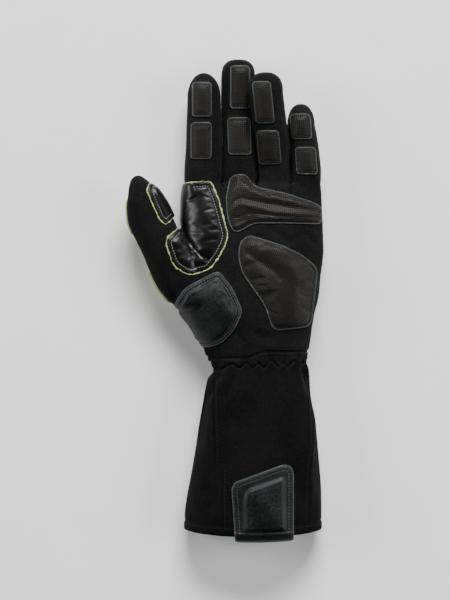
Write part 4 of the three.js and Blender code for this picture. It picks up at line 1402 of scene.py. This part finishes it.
# %% Rows of stitches


def stitches_on(patch, inset, pitch, length, radius, bundle, keep=None, lift=0.06):
    line = offset_line(patch["outline"], inset)
    places, normals = on_patch(patch, line, lift)
    ahead = np.linalg.norm(np.diff(places, axis=0), axis=1)
    mask = np.ones(len(line), bool) if keep is None else keep(line)
    runs, start = [], 0 if mask[0] else 1
    for i in range(1, len(line) + 1):
        if i == len(line) or not mask[i] or ahead[i - 1] > 3.0:
            if i - start > 3:
                runs.append((start, i))
            start = i if i < len(line) and mask[i] else i + 1
    for a, b in runs:
        bundle.add(capsules(places[a:b], normals[a:b], pitch, length, radius))


for pad in pads.values():
    stitches_on(pad, 1.75, 2.1, 1.45, 0.20, dark_thread)


def on_top(line):
    return wraps_round(line) < 0.35


def on_strip_top(line):
    return palm_to_thumb(line)[:, 0] < 0.30 * thumb_width


stitches_on(web, 1.5, 1.9, 1.3, 0.20, dark_thread, keep=on_top)
stitches_on(web, 3.0, 1.9, 1.3, 0.26, pale_thread, keep=on_top)
stitches_on(strip, 1.3, 1.8, 1.2, 0.18, dark_thread, keep=on_strip_top)
stitches_on(strip, 2.7, 1.8, 1.2, 0.24, pale_thread, keep=on_strip_top)
stitches_on(root_pad, 1.6, 2.0, 1.4, 0.22, rims)
stitches_on(root_pad, 3.2, 2.0, 1.4, 0.26, rims)


def above_hem(line):
    return line[:, 1] > roll_start + 0.4


stitches_on(tab, 1.6, 2.0, 1.4, 0.20, dark_thread, keep=above_hem)
stitches_on(tab, 3.4, 2.0, 1.4, 0.22, rims, keep=above_hem)
print("stitch faces:", len(dark_thread.faces) + len(pale_thread.faces))

# %% Ragged lime edges


def ragged_edge(patch, out, radius, seed, keep):
    """An open tube just outside a patch, uneven in width and in how far it stands out."""
    line = resampled(patch["outline"], 0.45, closed=True)
    mask = keep(line)
    first = int(np.argmin(mask))
    line, mask = np.roll(line, -first, axis=0), np.roll(mask, -first)
    line = line[mask]
    places, normals = on_patch(patch, line)
    ahead = np.gradient(places, axis=0)
    outward = np.cross(ahead, normals)
    outward /= np.linalg.norm(outward, axis=1)[:, None]
    if (outward[:, :2] * (line - patch["outline"].mean(0))).sum() < 0:
        outward = -outward
    chance = np.random.default_rng(seed)
    frayed, uneven_width = chance.normal(size=(2, len(line)))
    frayed, uneven_width = (0.5 * n + 0.3 * np.roll(n, 1) + 0.3 * np.roll(n, -1)
                            for n in (frayed, uneven_width))
    places = places + outward * (out + 0.20 * frayed)[:, None] + normals * 0.1
    width = radius * np.clip(1 + 0.6 * uneven_width, 0.3, 2.0)
    return tube(places, normals, width, sides=8, closed=False, flatten=0.75)


def web_edge_shows(line):
    return ~((line[:, 0] < -0.512 * palm_width)
             & (line[:, 1] > 0.745 * palm_length)) & (line[:, 1] > 0)


lime_thread.add(ragged_edge(web, 0.33, 0.38, 4, web_edge_shows))


def strip_edge_shows(line):
    return palm_to_thumb(line)[:, 0] < 0.335 * thumb_width


lime_thread.add(ragged_edge(strip, 0.28, 0.34, 14, strip_edge_shows))
print("lime edge faces:", len(lime_thread.faces))

# %% [markdown]
# ## Seams of the knit
# Side seams run up both sides of each finger and round its tip, the thumb has one along its outer
# side, and each crotch between two fingers ends in a small loop of seam allowance. They are thin
# rolls of the same knit, half sunk in the skin.

# %% Side seams and the little loops in the crotches
seams = Bundle()


def finger_side(name, sign, from_along=0.03, to_along=0.995):
    """Points up one side of a finger, closer together round its tip."""
    tip_start = fingers[name][4]
    along = np.concatenate([np.linspace(from_along, tip_start, 60)[:-1],
                            tip_start + (to_along - tip_start) * np.sin(np.linspace(0, np.pi / 2,
                                                                                    24))])
    x, y, z, half, _ = finger_centre(name, along)
    return np.stack([x + sign * half, y, z], 1)


for name in names:
    path = resampled(np.concatenate([finger_side(name, -1), finger_side(name, 1)[::-1]]), 1.0)
    spots = [finger_surfaces[name].tree.find_nearest(Vector(p)) for p in path]
    places = np.array([tuple(s[0]) for s in spots])
    normals = np.array([finger_surfaces[name].smooth_normal(np.array(s[0]), s[2]) for s in spots])
    seams.add(tube(places + normals * 0.05, normals, 0.42, sides=6, closed=False, flatten=0.8))


def skin_line(line, surface, sink=0.0):
    places, normals = surface.drop(resampled(np.asarray(line), 0.9))
    return places - normals * sink, normals


side_seam = photo_line((315.6, 150), (318.5, 185), (321.2, 215), (321.8, 240), (317.6, 275),
                       (312.8, 310), (308.9, 345))
for line, sink in ((thumb_seam, 0.12), (side_seam, 0.12)):
    places, normals = skin_line(line, skin_surface, sink)
    seams.add(tube(places, normals, 0.36, sides=6, closed=False))
    seams.add(capsules(places + normals * 0.26, normals, 2.6, 1.6, 0.16))

crotch_loops = [((221.4, 176), (223.6, 186.5)), ((255.8, 174), (257.3, 184.5)),
                ((290.2, 181), (291.6, 192.3))]
for (ax, ay), (bx, by) in crotch_loops:
    top, foot = photo_line((ax, ay), (bx, by))
    axis = foot - top
    t = np.linspace(0, 2 * np.pi, 40, endpoint=False)
    reach = 0.5 - 0.5 * np.cos(t)
    across = np.array([-axis[1], axis[0]]) / np.linalg.norm(axis)
    loop = top + reach[:, None] * axis + (1.25 * np.sin(t)
                                          * np.sqrt(np.clip(reach, 0.02, 1)))[:, None] * across
    places, normals = skin_surface.drop(loop)
    places[:, 2] = np.maximum(places[:, 2],
                              np.interp(reach, [0, 1],
                                        [places[:, 2].max() - 1.5, places[:, 2].min()]))
    seams.add(tube(places + normals * 0.5, normals, 0.5, sides=6))
print("seam faces:", len(seams.faces))

# %% Stitches along the wrist seam, the hem and the cuff's seams
wrist_x = np.linspace(-27.5, 35.5, 78)
wrist_seam = np.stack([wrist_x, seam_y(wrist_x) + 1.3], 1)
places, normals = skin_surface.drop(wrist_seam)
dark_thread.add(capsules(places + normals * 0.05, normals, 2.4, 1.6, 0.17))
spots, normals = cuff_spots(np.full(cuff_count, stitch_row_y))
lift = np.interp(-stitch_row_y, -band_y[:16, 0], np.array(band_lift[:16])) - 0.28 + side[3]
places = spots + normals * (lift + 0.05)[:, None]
places[:, 2] = np.maximum(places[:, 2], 0.15)
dark_thread.add(capsules(np.vstack([places, places[:1]]), np.vstack([normals, normals[:1]]), 2.5,
                         1.7, 0.19))
for line in cuff_seams:
    path = resampled(line, 1.0)
    places, normals = cuff_surface.drop(path + [1.1, 0.0])
    dark_thread.add(capsules(places, normals, 2.5, 1.6, 0.15))
print("dark thread faces:", len(dark_thread.faces))

# %% [markdown]
# ## Lime panels on the thumb's outer side
# Two padded lime panels wrap the outer side of the thumb and only just show past it from above.
# They are drawn on the side of the thumb, along its length and height, and pressed on from there.

# %% Panels pressed on from the side
outer_side = part_surface((in_thumb[:, 0] < 1) & (in_thumb[:, 1] > -8) & (closed_owner < 0))


def side_place(plan):
    """Plan x is the distance along the thumb and plan y the height, both in millimetres."""
    places, directions = [], []
    into = thumb_to_palm(np.array([[1.0, 0, 0]]))[0] - thumb_to_palm(np.zeros((1, 3)))[0]
    for along, height in plan:
        start = thumb_to_palm(np.array([[-60.0, along, height]]))[0]
        hit, _, index, _ = outer_side.tree.ray_cast(Vector(start), Vector(into))
        if hit is None:
            hit, _, index, _ = outer_side.tree.find_nearest(Vector(start + into * 42))
        places.append(tuple(hit))
        directions.append(outer_side.smooth_normal(np.array(hit), index))
    return np.array(places), np.array(directions)


def side_panel(name, start, end, low, high):
    start, end = start * thumb_length, end * thumb_length
    outline = rounded([(start, low), (end, low), (end - 1, high), (start + 1, high)], 3.0, 0.5)
    return sewn_patch(name, outline, outer_side, 1.2, step=0.9, place=side_place,
                      relief=lambda plan, depth: 0.35 * smooth_step(depth, 0.8, 3.0))


lime_knuckle = side_panel("lime_knuckle_pad", 0.575, 0.87, 11.5, 19.4)
lime_root = side_panel("lime_root_pad", -0.02, 0.285, 5.0, 18.0)
print("lime panel quads:", len(lime_knuckle["quads"]), len(lime_root["quads"]))

# %% [markdown]
# ## Thickness of the knit
# The skin so far is one sheet. Thickening it inwards gives the shell a real wall, which shows at
# the wrist and through the mouth of the cuff.

# %% Thicken the skin
wall = skin.modifiers.new("wall", "SOLIDIFY")
wall.thickness, wall.offset = 1.6, -1
applied(skin)
set_coordinates(skin, to_metres(coordinates(skin)))
skin.name = "hand_knit"
print("hand knit faces:", len(skin.data.polygons))

# %% [markdown]
# ## Finishes
# Four effects are node groups: a fine knit, a leather grain, punched holes and scuffed high
# spots. Each puts out heights, shades or masks, and the material turns them into bumps and
# colours. Colours are linear, so a black knit still holds a little light.

# %% Helpers for node groups


def node_group(name, inputs, outputs):
    """A group whose outputs are numbers. An input with no value given is a vector."""
    group = bpy.data.node_groups.new(name, "ShaderNodeTree")
    for label, value in inputs.items():
        kind = "NodeSocketVector" if value is None else "NodeSocketFloat"
        socket = group.interface.new_socket(label, in_out="INPUT", socket_type=kind)
        if value is not None:
            socket.default_value = value
    for label in outputs:
        group.interface.new_socket(label, in_out="OUTPUT", socket_type="NodeSocketFloat")
    given, out = (group.nodes.new(kind) for kind in ("NodeGroupInput", "NodeGroupOutput"))
    return group, given.outputs, out.inputs


def maths(tree, operation, *values):
    node = tree.nodes.new("ShaderNodeMath")
    node.operation = operation
    for value, socket in zip(values, node.inputs):
        if isinstance(value, (int, float)):
            socket.default_value = value
        else:
            tree.links.new(value, socket)
    return node.outputs[0]


def blend(tree, *terms):
    """The sum of values, each times its share."""
    total = None
    for value, share in terms:
        part = maths(tree, "MULTIPLY", value, share)
        total = part if total is None else maths(tree, "ADD", total, part)
    return total


def scaled(tree, vector, scale):
    node = tree.nodes.new("ShaderNodeVectorMath")
    node.operation = "SCALE"
    tree.links.new(vector, node.inputs[0])
    tree.links.new(scale, node.inputs["Scale"])
    return node.outputs[0]


def split(tree, vector):
    node = tree.nodes.new("ShaderNodeSeparateXYZ")
    tree.links.new(vector, node.inputs[0])
    return node.outputs


def cloudy(tree, vector, scale, detail=2.0):
    node = tree.nodes.new("ShaderNodeTexNoise")
    node.inputs["Scale"].default_value, node.inputs["Detail"].default_value = scale, detail
    tree.links.new(vector, node.inputs["Vector"])
    return node.outputs["Fac"]


def ranged(tree, value, low, high, to_low=0.0, to_high=1.0, eased=False):
    """Stretches low..high to to_low..to_high, with soft ends where eased."""
    node = tree.nodes.new("ShaderNodeMapRange")
    node.interpolation_type = "SMOOTHSTEP" if eased else "LINEAR"
    tree.links.new(value, node.inputs["Value"])
    for label, number in (("From Min", low), ("From Max", high), ("To Min", to_low),
                          ("To Max", to_high)):
        node.inputs[label].default_value = number
    return node.outputs["Result"]


print("helpers for node groups are ready")

# %% Knit, grain, punched holes and scuffs as groups
full_turn = 6.2832
knit_group, given, out = node_group("fine knit", {"Place": None, "Loops per metre": 1300.0},
                                    ("Height", "Shade"))
tree = knit_group
spot = scaled(tree, given["Place"], given["Loops per metre"])
x, y, z = split(tree, spot)
upright = maths(tree, "MULTIPLY", maths(tree, "ADD", x, z), full_turn)
slant = maths(tree, "ABSOLUTE", maths(tree, "SINE", upright))
course = maths(tree, "SINE", blend(tree, (y, full_turn), (slant, 2.2)))
fuzz, blotch = cloudy(tree, spot, 0.55, 3), cloudy(tree, given["Place"], 26, 4)
tree.links.new(blend(tree, (maths(tree, "ADD", course, slant), 0.25), (fuzz, 0.8)), out["Height"])
tree.links.new(blend(tree, (fuzz, 0.5), (blotch, 0.5)), out["Shade"])

grain_group, given, out = node_group("leather grain", {"Place": None, "Pebbles per metre": 900.0},
                                     ("Height", "Shade"))
tree = grain_group
spot = scaled(tree, given["Place"], given["Pebbles per metre"])
cells = tree.nodes.new("ShaderNodeTexVoronoi")
cells.feature = "DISTANCE_TO_EDGE"
cells.inputs["Scale"].default_value = 1.0
tree.links.new(spot, cells.inputs["Vector"])
pebble = maths(tree, "MINIMUM", maths(tree, "MULTIPLY", cells.outputs["Distance"], 3.0), 1.0)
fine, slow = cloudy(tree, spot, 1.7, 4), cloudy(tree, given["Place"], 60, 3)
tree.links.new(blend(tree, (pebble, 1.0), (fine, 0.4)), out["Height"])
tree.links.new(blend(tree, (pebble, 0.22), (fine, 0.65), (slow, 0.4)), out["Shade"])

hole_group, given, out = node_group("punched holes", {"Flat": None, "Pitch": 1.3, "Radius": 0.36},
                                    ("Hole", "Height"))
tree = hole_group
squares = []
for place in list(split(tree, given["Flat"]))[:2]:
    off = maths(tree, "SUBTRACT",
                maths(tree, "FRACT", maths(tree, "DIVIDE", place, given["Pitch"])), 0.5)
    squares.append(maths(tree, "MULTIPLY", off, off))
away = maths(tree, "MULTIPLY", maths(tree, "SQRT", maths(tree, "ADD", *squares)), given["Pitch"])
solid = ranged(tree, maths(tree, "SUBTRACT", away, given["Radius"]), -0.10, 0.12, eased=True)
tree.links.new(solid, out["Height"])
tree.links.new(maths(tree, "SUBTRACT", 1.0, solid), out["Hole"])

scuff_group, given, out = node_group("scuffed high spots", {"Place": None, "Amount": 0.5},
                                     ("Mask",))
tree = scuff_group
high = ranged(tree, tree.nodes.new("ShaderNodeNewGeometry").outputs["Pointiness"], 0.50, 0.60)
rubbed = maths(tree, "MULTIPLY", high, cloudy(tree, given["Place"], 240, 5))
tree.links.new(maths(tree, "MULTIPLY", rubbed, given["Amount"]), out["Mask"])
print("node groups:", [g.name for g in bpy.data.node_groups])

# %% Materials


class Finish:
    """A material with its Principled shader and a few shortcuts."""

    def __init__(self, name, roughness, sheen=0.0, coat=0.0, coat_roughness=0.2, specular=0.5):
        self.material = bpy.data.materials.new(name)
        self.material.use_nodes = True
        self.tree = self.material.node_tree
        self.shader = self.tree.nodes["Principled BSDF"]
        for label, number in (("Roughness", roughness), ("Sheen Weight", sheen),
                              ("Coat Weight", coat), ("Coat Roughness", coat_roughness),
                              ("Specular IOR Level", specular)):
            self.shader.inputs[label].default_value = number
        self.spots = self.tree.nodes.new("ShaderNodeTexCoord")

    def group(self, group, **values):
        node = self.tree.nodes.new("ShaderNodeGroup")
        node.node_tree = group
        for label, value in values.items():
            node.inputs[label.replace("_", " ")].default_value = value
        source, target = ("UV", "Flat") if "Flat" in node.inputs else ("Object", "Place")
        self.tree.links.new(self.spots.outputs[source], node.inputs[target])
        return node.outputs

    def ramp(self, value, stops, target="Base Color"):
        node = self.tree.nodes.new("ShaderNodeValToRGB")
        marks = node.color_ramp.elements
        for mark, (position, colour) in ((marks[0], stops[0]), (marks[1], stops[-1])):
            mark.position, mark.color = position, (*colour, 1)
        for position, colour in stops[1:-1]:
            marks.new(position).color = (*colour, 1)
        self.tree.links.new(value, node.inputs[0])
        if target:
            self.tree.links.new(node.outputs[0], self.shader.inputs[target])
        return node.outputs[0]

    def mix(self, mask, first, second, target="Base Color"):
        node = self.tree.nodes.new("ShaderNodeMix")
        node.data_type = "RGBA"
        self.tree.links.new(mask, node.inputs[0])
        for value, socket in ((first, node.inputs[6]), (second, node.inputs[7])):
            if isinstance(value, tuple):
                socket.default_value = (*value, 1)
            else:
                self.tree.links.new(value, socket)
        self.tree.links.new(node.outputs[2], self.shader.inputs[target])
        return node.outputs[2]

    def roughness_from(self, value, low, high, dull=None):
        rough = ranged(self.tree, value, 0.0, 1.0, low, high)
        if dull is not None:
            rough = maths(self.tree, "MAXIMUM", rough, dull)
        self.tree.links.new(rough, self.shader.inputs["Roughness"])

    def bump(self, height, distance, strength=1.0, below=None):
        node = self.tree.nodes.new("ShaderNodeBump")
        node.inputs["Distance"].default_value = distance
        node.inputs["Strength"].default_value = strength
        self.tree.links.new(height, node.inputs["Height"])
        if below is not None:
            self.tree.links.new(below, node.inputs["Normal"])
        self.tree.links.new(node.outputs["Normal"], self.shader.inputs["Normal"])
        return node.outputs["Normal"]


# The factor darkens the knit's colours and shine together; below 1 it is painted shade.
def knit_finish(name, painted_shade_factor):
    finish = Finish(name, 0.9, sheen=0.02, specular=0.07 * painted_shade_factor)
    threads = finish.group(knit_group)
    low, high = np.array([0.0014, 0.0017, 0.0014]), np.array([0.0084, 0.0093, 0.0083])
    finish.ramp(threads["Shade"], [(0.36, tuple(low * painted_shade_factor)), (0.64, tuple(high * painted_shade_factor))])
    finish.bump(threads["Height"], 0.00026, 0.85)
    return finish


knit = knit_finish("black knit", 1.0)
# Cuff and hem: the same black knit at 0.62 of its brightness, painted shade for the light falling
# off away from the fingers.
cuff_knit_painted_shade = knit_finish("black knit with painted shade", 0.62)

grip = Finish("perforated grip leather", 0.5, specular=0.16)
holes = grip.group(hole_group)
grain = grip.group(grain_group, Pebbles_per_metre=1500.0)
worn = grip.group(scuff_group, Amount=0.8)
base = grip.ramp(grain["Shade"], [(0.45, (0.0070, 0.0061, 0.0046)), (0.9, (0.024, 0.0212, 0.0166))],
                 target=None)
scuffed = grip.mix(worn["Mask"], base, (0.060, 0.055, 0.048))
# The punched holes are painted almost black: painted shade for each hole's hollow, over the dark
# layer seen through it.
grip.mix(holes["Hole"], scuffed, (0.0006, 0.0006, 0.0006))
grip.roughness_from(grain["Shade"], 0.33, 0.50, holes["Hole"])
fine_bump = grip.bump(grain["Height"], 0.00008, 0.6)
grip.bump(holes["Height"], 0.00045, 1.0, below=fine_bump)

smooth = Finish("smooth shiny leather", 0.3, coat=0.06, coat_roughness=0.22, specular=0.24)
grain = smooth.group(grain_group, Pebbles_per_metre=700.0)
smooth.ramp(grain["Shade"], [(0.3, (0.0016, 0.0018, 0.0018)), (0.9, (0.004, 0.0043, 0.0043))])
smooth.roughness_from(grain["Shade"], 0.26, 0.44)
smooth.bump(grain["Height"], 0.00004, 0.5)

grained = Finish("grained leather", 0.4, coat=0.05, coat_roughness=0.25, specular=0.22)
grain = grained.group(grain_group, Pebbles_per_metre=1050.0)
worn = grained.group(scuff_group, Amount=0.6)
base = grained.ramp(grain["Shade"],
                    [(0.56, (0.0008, 0.0011, 0.0012)), (0.86, (0.0190, 0.0225, 0.0230))],
                    target=None)
grained.mix(worn["Mask"], base, (0.026, 0.030, 0.031))
grained.roughness_from(grain["Shade"], 0.30, 0.48)
grained.bump(grain["Height"], 0.00012, 0.85)

lime = Finish("lime fabric", 0.8, sheen=0.2, specular=0.3)
threads = lime.group(knit_group, Loops_per_metre=1600.0)
lime.ramp(threads["Shade"],
          [(0.25, (0.16, 0.18, 0.04)), (0.5, (0.42, 0.46, 0.16)), (0.75, (0.66, 0.68, 0.40))])
lime.bump(threads["Height"], 0.0003, 1.0)

sealed = Finish("sealed rim", 0.42, specular=0.5)
grain = sealed.group(grain_group, Pebbles_per_metre=1200.0)
sealed.ramp(grain["Shade"], [(0.3, (0.018, 0.024, 0.026)), (0.9, (0.055, 0.068, 0.072))])
sealed.bump(grain["Height"], 0.00008, 0.6)


def thread_finish(name, roughness, dim, lit, **look):
    finish = Finish(name, roughness, **look)
    twist = finish.group(knit_group, Loops_per_metre=2600.0)
    finish.ramp(twist["Shade"], [(0.3, dim), (0.8, lit)])
    finish.bump(twist["Height"], 0.0001, 0.7)
    return finish


dark = thread_finish("dark thread", 0.7, (0.004, 0.0045, 0.0045), (0.014, 0.016, 0.016),
                     specular=0.2)
pale = thread_finish("grey thread", 0.55, (0.10, 0.11, 0.105), (0.30, 0.31, 0.30), sheen=0.1)
print("materials:", len(bpy.data.materials))

# %% [markdown]
# ## Put the pieces in place
# Each piece gets its finish and rides on the glove's one body. It stands for the solid that it
# was made from, so that solid is hidden.

# %% Finish, ride and replace


def settle(piece, finish, slot, *nodes, smooth_faces=True):
    piece.data.materials.clear()
    piece.data.materials.append(finish.material)
    piece.data.polygons.foreach_set("use_smooth", [smooth_faces] * len(piece.data.polygons))
    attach(piece, "root")
    if nodes:
        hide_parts(*nodes)
    return piece


settle(skin, knit, "knit", "palm_panel", "back_panel", "gusset_index_middle", "gusset_middle_ring",
       "gusset_ring_little", "thumb_front", "thumb_back")
settle(wrist, knit, "knit", "wrist_gather")
settle(cuff, cuff_knit_painted_shade, "knit", "cuff_front", "cuff_back")
settle(hem, cuff_knit_painted_shade, "knit", "cuff_hem")
settle(seams.piece("side_seams"), knit, "knit")
for key, pad in pads.items():
    settle(pad["piece"], grip, "grip_leather", key)
settle(web["piece"], smooth, "smooth_leather", "web_leather")
settle(strip["piece"], smooth, "smooth_leather", "thumb_leather")
settle(root_pad["piece"], grained, "grained_leather", "thumb_heel_pad")
settle(tab["piece"], grained, "grained_leather", "pull_tab")
settle(lime_knuckle["piece"], lime, "lime_fabric", "lime_knuckle_panel")
settle(lime_root["piece"], lime, "lime_fabric", "lime_root_panel")
settle(lime_thread.piece("lime_edges"), lime, "lime_fabric", "web_edging", "thumb_edging")
settle(rims.piece("sealed_rims"), sealed, "grip_leather")
settle(dark_thread.piece("dark_stitches"), dark, "knit")
settle(pale_thread.piece("grey_stitches"), pale, "knit")

# %% [markdown]
# ## Floor and light
# The floor is plain and pale. One large soft light beyond the fingertips gives the leather its
# long highlights, and two weaker ones fill from the sides. The surroundings are bright near the
# horizon and dim overhead, so level leather stays dark and only its slopes catch the light.

# %% Floor, lights and background
floor = link("floor", [(-3, -3, 0), (3, -3, 0), (3, 3, 0), (-3, 3, 0)], [(0, 1, 2, 3)])
ground = Finish("pale floor", 0.9, specular=0.1)
ground.ramp(cloudy(ground.tree, ground.spots.outputs["Object"], 30),
            [(0.3, (0.93, 0.93, 0.93)), (0.7, (0.95, 0.95, 0.95))])
floor.data.materials.append(ground.material)


def soft_light(name, place, size, power, target=(0, 0, 0)):
    lamp = bpy.data.lights.new(name, "AREA")
    lamp.shape, lamp.size, lamp.size_y, lamp.energy = "RECTANGLE", size[0], size[1], power
    light = bpy.data.objects.new(name, lamp)
    light.location = place
    light.rotation_euler = (Vector(target) - Vector(place)).to_track_quat("-Z", "Y").to_euler()
    bpy.context.scene.collection.objects.link(light)
    return light


soft_light("window", (0.35, 2.7, 1.75), (1.9, 1.1), 235)
soft_light("left_fill", (-2.6, 0.5, 1.3), (1.4, 1.0), 62)
soft_light("right_fill", (2.5, 0.1, 1.5), (1.4, 1.0), 52)
world = bpy.data.worlds.new("studio")
world.use_nodes = True
sky = world.node_tree
direction = sky.nodes.new("ShaderNodeTexCoord")
height = split(sky, direction.outputs["Generated"])[2]
sky.links.new(ranged(sky, height, 0.15, 0.75, 1.1, 0.10, eased=True),
              sky.nodes["Background"].inputs[1])
bpy.context.scene.world = world
